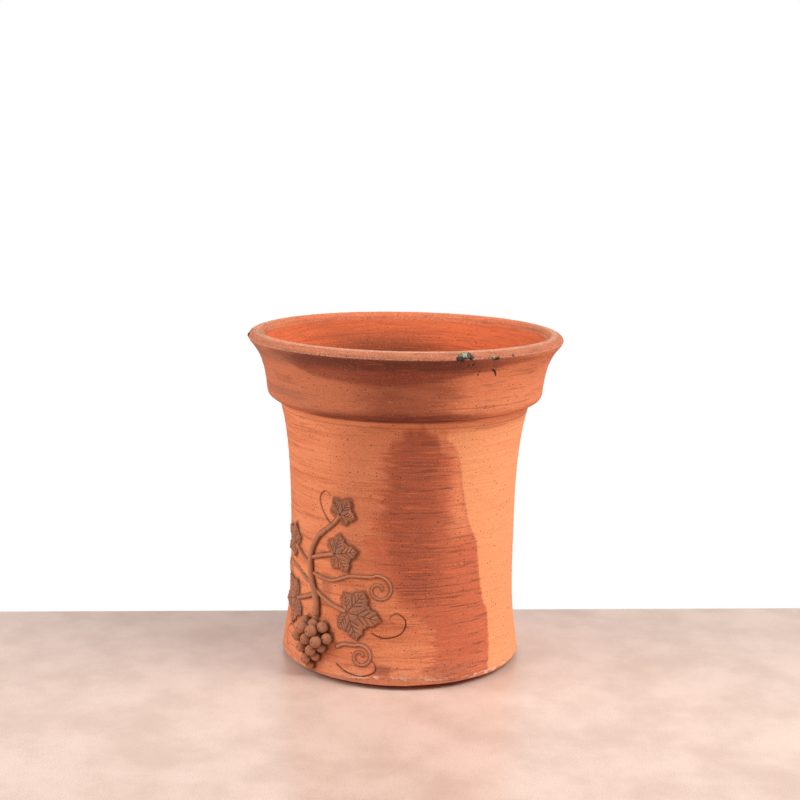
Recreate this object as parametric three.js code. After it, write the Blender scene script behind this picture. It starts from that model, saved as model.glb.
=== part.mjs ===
// Hand-thrown terracotta planter: a flared pot with a stepped collar, and a vine sprig of rolled
// and pressed clay luted on near the foot.
// Millimetres, +Z up. The origin is the centre of the foot, on the ground, and -Y is the front.
// Places on the wall are written as (u, v, w): along the wall, up from the ground, out from it.
import * as THREE from "three";

// ---- the thrown pot: heights and radii ----
const POT_HEIGHT = 280;
const FOOT_RADIUS = 102.4; // the sharp lower edge of the wall
const FOOT_EDGE_HEIGHT = 4.5; // that edge stands clear of the ground
const FOOT_UNDERCUT = 12; // how far the resting ring lies inside it
const FOOT_RING_WIDTH = 15;
const FOOT_RECESS = 3; // how far the underside is hollowed inside the ring
const WAIST_RADIUS = 95.5;
const WAIST_HEIGHT = 92;
const NECK_RADIUS = 104.9; // the groove under the collar
const NECK_DROP = 61; // below the rim
const COLLAR_RADIUS = 116.3; // where the collar's belly turns up
const COLLAR_DROP = 48;
const RIM_RADIUS = 132; // the lip's outer edge
const LIP_DROP = 5.8; // the lip's sharp lower corner lies this far below its crest
const LIP_FACE = 1; // the upright part of its face
const CREST_INSET = 8.5; // the crest lies this far inside the face
const LIP_THICKNESS = 12.5;

// ---- the thrown pot: walls ----
const WALL_THICKNESS = 8;
const NECK_THICKNESS = 7.5;
const COLLAR_THICKNESS = 9.5;
const FLOOR_THICKNESS = 10;
const FLOOR_FILLET = 15;
const DRAIN_RADIUS = 11;
const FACETS_ROUND = 60;

// How the outline bends between its stations: the shares of the way across and up at which it
// leaves the lower one and reaches the upper one, and its steps.
const OUTSIDE = {
  lower_body: { leave: [0.43, 0.26], reach: [0, 0.63], steps: 7 },
  upper_body: { leave: [0, 0.48], reach: [0.88, 0.24], steps: 8 },
  step: { leave: [0.48, 0.52], reach: [0.06, 0.67], steps: 5 },
  flare: { leave: [0.18, 0.77], reach: [0.18, 0.15], steps: 6 },
  lip: { leave: [0.05, 0.45], reach: [0.6, 0], steps: 4 },
};
const UNDERCUT = { leave: [0.05, 0.7], reach: [0.75, 0.1], steps: 4 };
const INSIDE = {
  lip: { leave: [0.3, 0], reach: [0.2, 0.6], steps: 3 },
  flare: { leave: [0.5, 0.3], reach: [0.06, 0.35], steps: 4 },
  collar: { leave: [0.08, 0.35], reach: [0.25, 0.35], steps: 3 },
  body: { leave: [0.75, 0.24], reach: [0, 0.38], steps: 5 },
  heel: { leave: [0, 0.667], reach: [0.667, 0], steps: 3 },
};
const INNER_COLLAR_SHARE = 0.83; // the inner stations lie this far down, against the outer ones
const INNER_NECK_SHARE = 1.12;

// ---- the vine sprig ----
const SPRIG_AZIMUTH = THREE.MathUtils.degToRad(-45); // from the front, towards the left
const SEAT_GAP = 0.3; // the slip joint between two pieces of clay
const BERRY_RADIUS = 4.75;
const BERRY_SHRINK = 0.25; // each row down is this much smaller in radius
const BERRY_ROWS = [3, 4, 3, 2, 1]; // berries pressed on the wall, from the top row down
const BUNCH_TOP = 44; // height of the top row's centres
const SPRIG_WIDTH = 100; // its places are shares of this, along the wall and up
const SEAT_SHARE = 0.8; // a pellet's centre lies this share of its radius above its seat
const CANE_RADIUS = 3.2;
const CANE_TIP_RADIUS = 1.6;
const PETIOLE_RADIUS = 1.5;
const TENDRIL_RADIUS = 1.25;
const TENDRIL_TIP_RADIUS = 0.6;
const TENDRIL_EYE = 2.2; // the inner radius of a tendril's curl
const CURL_POINTS = 10; // points that shape each turn of a curl
const PETIOLE_BOW = 0.45; // how far a petiole runs on straight from its leaf, against its length
const LARGE_LEAF = 24; // from the leaf's middle to the tip of its longest lobe
const MIDDLE_LEAF = 18;
const SMALL_LEAF = 14;
const LEAF_THICKNESS = 2.8;
const LEAF_EDGE_THICKNESS = 1.5;
const VEIN_DEPTH = 0.7;
const LEAF_LIFT = 3.5; // the lobes' tips curl this far off the wall

// ---- facets of the sprig ----
const CANE = { steps: 22, sides: 8 };
const PETIOLE = { steps: 5, sides: 6 };
const TENDRIL = { steps: 28, sides: 6 };
const BERRY = { rings: 6, sides: 10 };

// ---- finishes ----
const terracotta = new THREE.MeshStandardMaterial({ color: 0xc2703f, roughness: 0.9, metalness: 0 });
const darkClay = new THREE.MeshStandardMaterial({ color: 0x7a4a36, roughness: 0.88, metalness: 0 });
const berryClay = new THREE.MeshStandardMaterial({ color: 0x8a4c34, roughness: 0.85, metalness: 0 });

const v2 = (x, y) => new THREE.Vector2(x, y);

// ---------------------------------------------------------------------------------------------
// The thrown pot
// ---------------------------------------------------------------------------------------------

// The outline through a list of stations, each reached by the bend that is given with it.
function outline(start, ...stretches) {
  const points = [start];
  for (const [to, bend] of stretches) {
    const from = points.at(-1);
    const way = to.clone().sub(from);
    const leave = v2(from.x + way.x * bend.leave[0], from.y + way.y * bend.leave[1]);
    const reach = v2(to.x - way.x * bend.reach[0], to.y - way.y * bend.reach[1]);
    points.push(...new THREE.CubicBezierCurve(from, leave, reach, to).getPoints(bend.steps).slice(1));
  }
  return points;
}

const CREST = v2(RIM_RADIUS - CREST_INSET, POT_HEIGHT);

// The outside of the wall, from the foot's edge up to the crest of the lip.
function outerWall() {
  const lip = v2(RIM_RADIUS, POT_HEIGHT - LIP_DROP);
  return [
    ...outline(
      v2(FOOT_RADIUS, FOOT_EDGE_HEIGHT),
      [v2(WAIST_RADIUS, WAIST_HEIGHT), OUTSIDE.lower_body],
      [v2(NECK_RADIUS, POT_HEIGHT - NECK_DROP), OUTSIDE.upper_body],
      [v2(COLLAR_RADIUS, POT_HEIGHT - COLLAR_DROP), OUTSIDE.step],
      [lip, OUTSIDE.flare],
    ),
    ...outline(v2(lip.x, lip.y + LIP_FACE), [CREST, OUTSIDE.lip]),
  ];
}

// The inside, from the crest of the lip down to the corner at the floor.
function innerWall() {
  const floorTop = FOOT_RECESS + FLOOR_THICKNESS;
  const waist = v2(WAIST_RADIUS - WALL_THICKNESS, WAIST_HEIGHT);
  return [
    ...outline(
      CREST,
      [v2(RIM_RADIUS - LIP_THICKNESS, POT_HEIGHT - LIP_DROP + LIP_FACE), INSIDE.lip],
      [v2(COLLAR_RADIUS - COLLAR_THICKNESS, POT_HEIGHT - COLLAR_DROP * INNER_COLLAR_SHARE), INSIDE.flare],
      [v2(NECK_RADIUS - NECK_THICKNESS, POT_HEIGHT - NECK_DROP * INNER_NECK_SHARE), INSIDE.collar],
      [waist, INSIDE.body],
    ),
    ...outline(v2(waist.x, floorTop + FLOOR_FILLET), [v2(waist.x - FLOOR_FILLET, floorTop), INSIDE.heel]),
  ];
}

const OUTER_WALL = outerWall();

// The outer radius of the wall at a height, on the same facets as the pot's own outline.
function outerRadiusAt(z) {
  for (let i = 1; i < OUTER_WALL.length; i++) {
    const a = OUTER_WALL[i - 1];
    const b = OUTER_WALL[i];
    if (z <= b.y) return a.x + ((b.x - a.x) * (z - a.y)) / (b.y - a.y);
  }
  return OUTER_WALL.at(-1).x;
}

function thrownVessel() {
  const floorTop = FOOT_RECESS + FLOOR_THICKNESS;
  const ringOuter = FOOT_RADIUS - FOOT_UNDERCUT;
  const ringInner = ringOuter - FOOT_RING_WIDTH;
  const underside = [
    v2(DRAIN_RADIUS, FOOT_RECESS),
    v2(ringInner - FOOT_RECESS, FOOT_RECESS),
    v2(ringInner, 0),
    ...outline(v2(ringOuter, 0), [OUTER_WALL[0], UNDERCUT]).slice(0, -1),
  ];
  const drain = [v2(DRAIN_RADIUS, floorTop), v2(DRAIN_RADIUS, FOOT_RECESS)];
  const profile = [...underside, ...OUTER_WALL, ...innerWall().slice(1), ...drain];
  return new THREE.LatheGeometry(profile, FACETS_ROUND).rotateX(Math.PI / 2);
}

// ---------------------------------------------------------------------------------------------
// Working on the wall
// ---------------------------------------------------------------------------------------------

// The point that lies w outside the pot's wall, at u along it from the sprig's axis and height v.
function onWall(u, v, w) {
  const azimuth = SPRIG_AZIMUTH + u / WAIST_RADIUS;
  const radius = outerRadiusAt(v) + SEAT_GAP + w;
  return new THREE.Vector3(radius * Math.sin(azimuth), -radius * Math.cos(azimuth), v);
}

// The direction square to the wall at that place, felt over a berry's radius to each side.
function wallNormal(u, v) {
  const reach = BERRY_RADIUS;
  const across = onWall(u + reach, v, 0).sub(onWall(u - reach, v, 0));
  const up = onWall(u, v + reach, 0).sub(onWall(u, v - reach, 0));
  return across.cross(up).normalize();
}

// A place in the sprig's layout, in millimetres along the wall and up.
const onSprig = ([across, up]) => v2(across * SPRIG_WIDTH, up * SPRIG_WIDTH);

// A closed skin over rings of points, each end closed at the middle of its ring.
function loft(rings) {
  const sides = rings[0].length;
  const middle = (ring) =>
    ring.reduce((sum, p) => sum.add(p), new THREE.Vector3()).divideScalar(sides);
  const points = [middle(rings[0]), ...rings.flat(), middle(rings.at(-1))];
  const faces = [];
  const at = (ring, k) => 1 + ring * sides + (k % sides);
  const last = points.length - 1;
  for (let k = 0; k < sides; k++) {
    faces.push(0, at(0, k + 1), at(0, k));
    for (let r = 0; r + 1 < rings.length; r++) {
      faces.push(at(r, k), at(r, k + 1), at(r + 1, k));
      faces.push(at(r, k + 1), at(r + 1, k + 1), at(r + 1, k));
    }
    faces.push(last, at(rings.length - 1, k), at(rings.length - 1, k + 1));
  }
  return new THREE.BufferGeometry()
    .setAttribute(
      "position",
      new THREE.Float32BufferAttribute(
        points.flatMap((p) => p.toArray()),
        3,
      ),
    )
    .setIndex(faces);
}

// A rolled coil of clay pressed on the wall along a line, round above and flat on its seat.
function pressedCoil(line, startRadius, endRadius, { steps, sides }) {
  const rings = [];
  for (let i = 0; i <= steps; i++) {
    const t = i / steps;
    const p = line.getPointAt(t);
    const forward = line.getTangentAt(t);
    const radius = THREE.MathUtils.lerp(startRadius, endRadius, t);
    const ring = [];
    for (let k = 0; k < sides; k++) {
      const angle = (2 * Math.PI * (k + 0.5)) / sides;
      const across = -radius * Math.cos(angle);
      const out = Math.max(0, radius * (SEAT_SHARE + Math.sin(angle)));
      ring.push(onWall(p.x + forward.y * across, p.y - forward.x * across, out));
    }
    rings.push(ring);
  }
  return loft(rings);
}

// ---------------------------------------------------------------------------------------------
// Leaves
// ---------------------------------------------------------------------------------------------

// A vine leaf's lobes: direction from the tip in degrees, reach and width, as shares of its length.
// Each direction falls on an even spoke, and the odd spokes are the notches between its teeth.
const LOBES = [
  { turn: 0, reach: 0.38, spread: 22 },
  { turn: 72, reach: 0.29, spread: 22 },
  { turn: -72, reach: 0.29, spread: 22 },
  { turn: 126, reach: 0.16, spread: 18 },
  { turn: -126, reach: 0.16, spread: 18 },
  { turn: 180, reach: -0.36, spread: 22 },
];
const LEAF_BODY = 0.62; // the reach between the lobes
const LEAF_TOOTH = 0.08; // how deep the teeth are cut, as a share of the reach
const LEAF_SPOKES = 40;
const LEAF_RINGS = [0.3, 0.62, 0.86, 1];
const VEIN_TURN = 1; // a spoke within this many degrees of a lobe's direction carries its vein
const SINUS_TURN = 90; // the sinus reaches at most this many degrees to each side

const fromTurn = (a, b) => Math.abs(THREE.MathUtils.euclideanModulo(a - b + 180, 360) - 180);

function leafReach(turn) {
  return LOBES.reduce(
    (reach, lobe) => reach + lobe.reach * Math.exp(-((fromTurn(turn, lobe.turn) / lobe.spread) ** 2)),
    LEAF_BODY,
  );
}

// A leaf pressed on the wall. Its veins are grooves, and its lobes curl off the wall.
function vineLeaf({ at, length, heading }) {
  const middle = onSprig(at);
  const ring = (share, out) => {
    const points = [];
    for (let k = 0; k < LEAF_SPOKES; k++) {
      const turn = (360 * k) / LEAF_SPOKES;
      const tooth = k % 2 ? 1 - LEAF_TOOTH * share : 1;
      const reach = length * share * leafReach(turn) * tooth;
      const way = THREE.MathUtils.degToRad(heading + turn);
      const vein = LOBES.some((lobe) => lobe.reach > 0 && fromTurn(turn, lobe.turn) < VEIN_TURN);
      const curl = LEAF_LIFT * (reach / length) ** 3;
      const across = middle.x + reach * Math.sin(way);
      const up = middle.y + reach * Math.cos(way);
      points.push(onWall(across, up, curl + out(vein)));
    }
    return points;
  };
  const face = LEAF_RINGS.map((share) =>
    ring(share, (vein) => {
      const thickness = THREE.MathUtils.lerp(LEAF_THICKNESS, LEAF_EDGE_THICKNESS, share);
      return thickness - (vein ? VEIN_DEPTH : 0);
    }),
  );
  const back = LEAF_RINGS.map((share) => ring(share, () => 0));
  return loft([...face, ...back.reverse()]);
}

// The place in a leaf's sinus where its lobes stand as far apart as the petiole is wide, and the
// way out of the sinus from there.
function leafFoot(leaf) {
  const halfWidth = PETIOLE_RADIUS + SEAT_GAP;
  let off = 1;
  const edge = () => leaf.length * leafReach(180 - off);
  const spread = () => edge() * Math.sin(THREE.MathUtils.degToRad(off));
  while (spread() < halfWidth && off < SINUS_TURN) off += 1;
  const reach = edge() * Math.cos(THREE.MathUtils.degToRad(off));
  const way = THREE.MathUtils.degToRad(leaf.heading + 180);
  const out = v2(Math.sin(way), Math.cos(way));
  return { point: onSprig(leaf.at).addScaledVector(out, reach), out };
}

// Each leaf has its middle, its size, the heading of its tip in degrees from straight up, and the
// share of the cane at which its petiole leaves.
const LEAVES = {
  left: { at: [-0.36, 0.56], length: LARGE_LEAF, heading: -108, joins: 0.2 },
  right: { at: [0.36, 0.6], length: LARGE_LEAF, heading: 98, joins: 0.26 },
  upper_left: { at: [-0.38, 1.06], length: MIDDLE_LEAF, heading: -58, joins: 0.5 },
  upper_right: { at: [0.22, 1.08], length: MIDDLE_LEAF, heading: 76, joins: 0.58 },
  tip: { at: [0.25, 1.43], length: SMALL_LEAF, heading: 34, joins: 1 },
};

// ---------------------------------------------------------------------------------------------
// Cane, petioles and tendrils
// ---------------------------------------------------------------------------------------------

// The cane climbs from just above the bunch in an S.
const CANE_LINE = new THREE.SplineCurve([
  v2(0, BUNCH_TOP + 2 * BERRY_RADIUS),
  ...[[-0.01, 0.66], [-0.08, 0.84], [-0.085, 1.02], [-0.01, 1.17], [0.09, 1.26]].map(onSprig),
]);

const caneRadiusAt = (t) => THREE.MathUtils.lerp(CANE_RADIUS, CANE_TIP_RADIUS, t);

// The point beside the cane where a coil of that radius leaves it towards a target. A coil that
// leaves at a slant starts farther off, so that its end clears the cane by the slip joint.
function besideCane(t, target, radius) {
  const p = CANE_LINE.getPointAt(t);
  const forward = CANE_LINE.getTangentAt(t);
  const square = v2(forward.y, -forward.x);
  const way = target.clone().sub(p).normalize();
  const off = caneRadiusAt(t) + SEAT_GAP + radius * Math.abs(way.dot(forward));
  return p.addScaledVector(square, Math.sign(way.dot(square)) * off);
}

// A petiole runs from the cane to the foot of its leaf and enters the sinus square. The last one
// leaves the cane at its end.
function petioleLine(leaf) {
  const foot = leafFoot(leaf);
  const knot = CANE_LINE.getPointAt(leaf.joins);
  const bend = foot.point.clone().addScaledVector(foot.out, foot.point.distanceTo(knot) * PETIOLE_BOW);
  const start =
    leaf.joins < 1
      ? besideCane(leaf.joins, bend, PETIOLE_RADIUS)
      : knot.addScaledVector(CANE_LINE.getTangentAt(1), SEAT_GAP);
  return new THREE.QuadraticBezierCurve(start, bend, foot.point);
}

// A tendril runs through its first places and winds in round its eye in an even spiral.
function tendrilLine({ joins, through, around, turns, way }) {
  const lead = through.map(onSprig);
  const eye = onSprig(around);
  const root = joins ? [besideCane(joins, lead[0], TENDRIL_RADIUS)] : [];
  const start = lead.at(-1).clone().sub(eye);
  const outer = start.length();
  const angle = start.angle();
  const curl = [];
  const steps = Math.round(turns * CURL_POINTS);
  for (let i = 1; i <= steps; i++) {
    const share = i / steps;
    const radius = THREE.MathUtils.lerp(outer, TENDRIL_EYE, share);
    const a = angle + way * 2 * Math.PI * turns * share;
    curl.push(v2(eye.x + radius * Math.cos(a), eye.y + radius * Math.sin(a)));
  }
  return new THREE.SplineCurve([...root, ...lead, ...curl]);
}

const TENDRILS = {
  right: {
    joins: 0.42,
    through: [[0.14, 0.84], [0.32, 0.905], [0.5, 0.92]],
    around: [0.57, 0.82],
    turns: 1.35,
    way: -1,
  },
  left: {
    joins: 0.3,
    through: [[-0.18, 0.79], [-0.32, 0.84], [-0.46, 0.85]],
    around: [-0.52, 0.775],
    turns: 1.1,
    way: 1,
  },
  low: {
    through: [[0.22, 0.3], [0.29, 0.335], [0.38, 0.34]],
    around: [0.435, 0.255],
    turns: 1.3,
    way: -1,
  },
};

// ---------------------------------------------------------------------------------------------
// Berries
// ---------------------------------------------------------------------------------------------

const berryRadius = (row) => BERRY_RADIUS - BERRY_SHRINK * row;

// A pellet of clay: a ball, flattened underneath where it is pressed on the wall.
function pellet(radius, seat) {
  const profile = [];
  const low = seat ? -Math.asin(seat) : -Math.PI / 2;
  if (seat) profile.push(v2(0, -radius * seat));
  for (let i = 0; i <= BERRY.rings; i++) {
    const angle = THREE.MathUtils.lerp(low, Math.PI / 2, i / BERRY.rings);
    profile.push(v2(i === BERRY.rings ? 0 : radius * Math.cos(angle), radius * Math.sin(angle)));
  }
  if (!seat) profile[0].x = 0;
  return new THREE.LatheGeometry(profile, BERRY.sides);
}

// The berries pressed on the wall, in rows that nest as the rows of a bunch do.
function berriesOnWall() {
  const pitch = 2 * BERRY_RADIUS + SEAT_GAP;
  return BERRY_ROWS.map((count, row) => {
    const radius = berryRadius(row);
    const v = BUNCH_TOP - (row * pitch * Math.sqrt(3)) / 2;
    return Array.from({ length: count }, (_, i) => {
      const u = (i - (count - 1) / 2) * pitch;
      const out = wallNormal(u, v);
      return { centre: onWall(u, v, 0).addScaledVector(out, radius * SEAT_SHARE), out, radius };
    });
  });
}

// The centre of a ball of that radius resting on three others, on their outer side.
function restOnThree(a, b, c, radius) {
  const reach = [a, b, c].map((ball) => ball.radius + radius + SEAT_GAP);
  const ex = b.centre.clone().sub(a.centre);
  const d = ex.length();
  ex.normalize();
  const ac = c.centre.clone().sub(a.centre);
  const i = ex.dot(ac);
  const ey = ac.clone().addScaledVector(ex, -i).normalize();
  const j = ey.dot(ac);
  const x = (reach[0] ** 2 - reach[1] ** 2 + d ** 2) / (2 * d);
  const y = (reach[0] ** 2 - reach[2] ** 2 + i ** 2 + j ** 2) / (2 * j) - (i / j) * x;
  const z = Math.sqrt(reach[0] ** 2 - x ** 2 - y ** 2);
  const ez = ex.clone().cross(ey);
  if (ez.dot(a.out) < 0) ez.negate();
  return a.centre.clone().addScaledVector(ex, x).addScaledVector(ey, y).addScaledVector(ez, z);
}

// The berries that lie in the hollows: each rests on two neighbours in a row and one below them.
function berriesOnTop(rows) {
  const top = [];
  for (let row = 0; row + 1 < rows.length; row++) {
    const shift = (rows[row + 1].length - rows[row].length + 1) / 2;
    for (let i = 0; i + 1 < rows[row].length; i++) {
      const [a, b, c] = [rows[row][i], rows[row][i + 1], rows[row + 1][i + shift]];
      const radius = berryRadius(row);
      top.push({ centre: restOnThree(a, b, c, radius), out: a.out, radius });
    }
  }
  return top;
}

// ---------------------------------------------------------------------------------------------
// Assembly
// ---------------------------------------------------------------------------------------------

const planter = new THREE.Group();
const sprig = new THREE.Group();
planter.add(sprig);

function piece(parent, name, geometry, material) {
  const mesh = new THREE.Mesh(geometry, material);
  mesh.name = name;
  parent.add(mesh);
  return mesh;
}

piece(planter, "thrown_vessel", thrownVessel(), terracotta);
piece(sprig, "vine_cane", pressedCoil(CANE_LINE, CANE_RADIUS, CANE_TIP_RADIUS, CANE), darkClay);

for (const [name, leaf] of Object.entries(LEAVES)) {
  piece(sprig, `leaf_${name}`, vineLeaf(leaf), darkClay);
  const petiole = pressedCoil(petioleLine(leaf), PETIOLE_RADIUS, PETIOLE_RADIUS, PETIOLE);
  piece(sprig, `petiole_${name}`, petiole, darkClay);
}

for (const [name, tendril] of Object.entries(TENDRILS)) {
  const coil = pressedCoil(tendrilLine(tendril), TENDRIL_RADIUS, TENDRIL_TIP_RADIUS, TENDRIL);
  piece(sprig, `tendril_${name}`, coil, darkClay);
}

function placeBerries(label, berries, seat) {
  berries.forEach((berry, i) => {
    const name = `berry_${label}_${String(i + 1).padStart(2, "0")}`;
    const mesh = piece(sprig, name, pellet(berry.radius, seat), berryClay);
    mesh.position.copy(berry.centre);
    mesh.quaternion.setFromUnitVectors(new THREE.Vector3(0, 1, 0), berry.out);
  });
}

const berryRows = berriesOnWall();
placeBerries("seated", berryRows.flat(), SEAT_SHARE);
placeBerries("upper", berriesOnTop(berryRows), 0);

export default planter;
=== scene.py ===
"""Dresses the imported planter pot.

The pot is thrown from one lump of coarse terracotta and left unglazed. A sprig of vine, made of
rolled coils, pressed leaves and pellets of clay, is luted on near its foot. Lengths are in metres,
+Z is up and -Y is the front. A place on the wall is written (u, v, w): along the wall from the
sprig's axis, up from the ground, and out from the wall.
"""

import logging
import math
import random
from bisect import bisect_right
from collections.abc import Sequence
from dataclasses import dataclass
from enum import Enum
from functools import cached_property

import bmesh
import bpy
from mathutils import Matrix, Vector, geometry, kdtree, noise


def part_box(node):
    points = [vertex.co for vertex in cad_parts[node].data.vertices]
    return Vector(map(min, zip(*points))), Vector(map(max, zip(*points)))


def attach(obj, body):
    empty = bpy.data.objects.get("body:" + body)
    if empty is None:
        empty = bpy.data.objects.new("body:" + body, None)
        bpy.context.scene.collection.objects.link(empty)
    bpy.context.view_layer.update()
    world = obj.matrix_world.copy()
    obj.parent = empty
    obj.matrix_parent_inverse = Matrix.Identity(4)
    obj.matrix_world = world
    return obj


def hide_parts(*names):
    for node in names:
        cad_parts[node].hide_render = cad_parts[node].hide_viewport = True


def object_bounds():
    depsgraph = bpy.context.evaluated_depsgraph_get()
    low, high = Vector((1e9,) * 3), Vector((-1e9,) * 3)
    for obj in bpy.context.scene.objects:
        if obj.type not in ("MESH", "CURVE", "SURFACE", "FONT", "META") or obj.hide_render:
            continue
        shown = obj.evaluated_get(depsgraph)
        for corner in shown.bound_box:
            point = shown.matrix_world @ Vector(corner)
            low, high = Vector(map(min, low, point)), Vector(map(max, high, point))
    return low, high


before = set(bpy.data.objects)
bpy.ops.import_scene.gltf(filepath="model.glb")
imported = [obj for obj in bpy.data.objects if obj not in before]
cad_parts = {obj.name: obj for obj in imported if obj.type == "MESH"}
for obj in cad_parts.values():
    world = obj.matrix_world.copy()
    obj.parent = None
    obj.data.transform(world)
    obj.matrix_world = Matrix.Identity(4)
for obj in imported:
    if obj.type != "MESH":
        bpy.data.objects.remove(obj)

CAD_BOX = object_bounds()
BODY = "root"
MM = 0.001
TURN = 2 * math.pi
HELD_IN = 0.02 * MM

log = logging.getLogger("planter")

Colour = tuple[float, float, float, float]
Uv = tuple[float, float]


class Slot(Enum):
    """The record's material slots."""

    TERRACOTTA = "terracotta"
    SPRIG = "sprig_clay"
    BERRY = "berry_clay"


def seen(red: int, green: int, blue: int) -> Colour:
    """Turns a colour as it looks on a screen into the linear one that a shader takes.

    Args:
        red: The red value, 0 to 255.
        green: The green value, 0 to 255.
        blue: The blue value, 0 to 255.

    Returns:
        The linear colour, with an alpha of 1.
    """

    def linear(value: int) -> float:
        """Decodes one sRGB value."""
        share = value / 255
        return share / 12.92 if share <= 0.04045 else ((share + 0.055) / 1.055) ** 2.4

    return linear(red), linear(green), linear(blue), 1.0


def smooth(value: float, low: float, high: float) -> float:
    """Eases from 0 at low to 1 at high.

    Args:
        value: The value to place between the two.
        low: Where the result is still 0.
        high: Where the result has reached 1.

    Returns:
        The eased share, from 0 to 1.
    """
    share = min(max((value - low) / (high - low), 0.0), 1.0)
    return share * share * (3 - 2 * share)


def lerp(first: float, second: float, share: float) -> float:
    """Returns the value that lies a share of the way from first to second."""
    return first + (second - first) * share


# ---------------------------------------------------------------------------------------------
# The pot's outline and its wall
# ---------------------------------------------------------------------------------------------


@dataclass(frozen=True)
class Bend:
    """How an outline runs from one station to the next.

    Attributes:
        leave: The shares of the way across and up at which the curve leaves the first station.
        reach: The same shares, counted back from the second station.
    """

    leave: Uv
    reach: Uv

    def run(self, start: Vector, end: Vector, step: float) -> list[Vector]:
        """Walks the curve.

        Args:
            start: The first station.
            end: The second station.
            step: About how far apart the points lie.

        Returns:
            The points after start, up to and with end.
        """
        way = end - start
        first = start + Vector((way.x * self.leave[0], way.y * self.leave[1]))
        second = end - Vector((way.x * self.reach[0], way.y * self.reach[1]))
        count = max(2, round(way.length / step) + 1)
        return [p.to_2d() for p in geometry.interpolate_bezier(start, first, second, end, count)[1:]]


@dataclass(frozen=True)
class PotSizes:
    """The thrown pot's sizes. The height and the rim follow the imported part."""

    height: float = CAD_BOX[1].z
    rim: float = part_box("thrown_vessel")[1].x
    foot: float = 102.4 * MM
    foot_edge: float = 4.5 * MM
    undercut: float = 12 * MM
    ring_width: float = 15 * MM
    recess: float = 3 * MM
    waist: float = 95.5 * MM
    waist_height: float = 92 * MM
    neck: float = 104.9 * MM
    neck_drop: float = 61 * MM
    collar: float = 116.3 * MM
    collar_drop: float = 48 * MM
    lip_drop: float = 5.8 * MM
    lip_face: float = 1 * MM
    crest_inset: float = 8.5 * MM
    lip_thickness: float = 12.5 * MM
    wall: float = 8 * MM
    neck_wall: float = 7.5 * MM
    collar_wall: float = 9.5 * MM
    floor: float = 10 * MM
    fillet: float = 15 * MM
    drain: float = 11 * MM
    inner_collar_share: float = 0.83
    inner_neck_share: float = 1.12


@dataclass(frozen=True)
class Outline:
    """The pot's section, in radius and height."""

    sizes: PotSizes = PotSizes()
    outer_step: float = 1.0 * MM
    inner_step: float = 3.0 * MM
    under_step: float = 3.5 * MM

    @staticmethod
    def through(step: float, start: Uv, *stretches: tuple[Uv, Bend]) -> list[Vector]:
        """Runs an outline through stations.

        Args:
            step: About how far apart its points lie.
            start: The first station.
            stretches: The further stations, each with the bend that leads to it.

        Returns:
            All the points, from start to the last station.
        """
        points = [Vector(start)]
        for station, bend in stretches:
            points += bend.run(points[-1], Vector(station), step)
        return points

    def outside(self) -> list[Vector]:
        """Runs up the outside of the wall.

        Returns:
            The points from the foot's edge to the crest of the lip.
        """
        s = self.sizes
        lip = (s.rim, s.height - s.lip_drop)
        return self.through(
            self.outer_step,
            (s.foot, s.foot_edge),
            ((s.waist, s.waist_height), Bend((0.43, 0.26), (0, 0.63))),
            ((s.neck, s.height - s.neck_drop), Bend((0, 0.48), (0.88, 0.24))),
            ((s.collar, s.height - s.collar_drop), Bend((0.48, 0.52), (0.06, 0.67))),
            (lip, Bend((0.18, 0.77), (0.18, 0.15))),
            ((s.rim, lip[1] + s.lip_face), Bend((0, 0.3), (0, 0.3))),
            ((s.rim - s.crest_inset, s.height), Bend((0.05, 0.45), (0.6, 0))),
        )

    def inside(self) -> list[Vector]:
        """Runs down the inside.

        Returns:
            The points from past the crest of the lip to the floor at the drain hole.
        """
        s = self.sizes
        top = s.recess + s.floor
        waist = s.waist - s.wall
        lip = (s.rim - s.lip_thickness, s.height - s.lip_drop + s.lip_face)
        collar = (s.collar - s.collar_wall, s.height - s.collar_drop * s.inner_collar_share)
        neck = (s.neck - s.neck_wall, s.height - s.neck_drop * s.inner_neck_share)
        return self.through(
            self.inner_step,
            (s.rim - s.crest_inset, s.height),
            (lip, Bend((0.3, 0), (0.2, 0.6))),
            (collar, Bend((0.5, 0.3), (0.06, 0.35))),
            (neck, Bend((0.08, 0.35), (0.25, 0.35))),
            ((waist, s.waist_height), Bend((0.75, 0.24), (0, 0.38))),
            ((waist, top + s.fillet), Bend((0, 0.3), (0, 0.3))),
            ((waist - s.fillet, top), Bend((0, 0.667), (0.667, 0))),
            ((s.drain, top), Bend((0.3, 0), (0.3, 0))),
        )[1:]

    def underside(self) -> list[Vector]:
        """Runs out along the underside.

        Returns:
            The points from the drain hole to just short of the foot's edge.
        """
        s = self.sizes
        flat = Bend((0.3, 0), (0.3, 0))
        ring_outer = s.foot - s.undercut
        ring_inner = ring_outer - s.ring_width
        return self.through(
            self.under_step,
            (s.drain, s.recess),
            ((ring_inner - s.recess, s.recess), flat),
            ((ring_inner, 0), Bend((0.3, 0.3), (0.3, 0.3))),
            ((ring_outer, 0), flat),
            ((s.foot, s.foot_edge), Bend((0.05, 0.7), (0.75, 0.1))),
        )[:-1]

    def whole(self) -> list[Vector]:
        """Returns the closed section, starting at the drain hole's lower edge."""
        return [*self.underside(), *self.outside(), *self.inside()]


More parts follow.
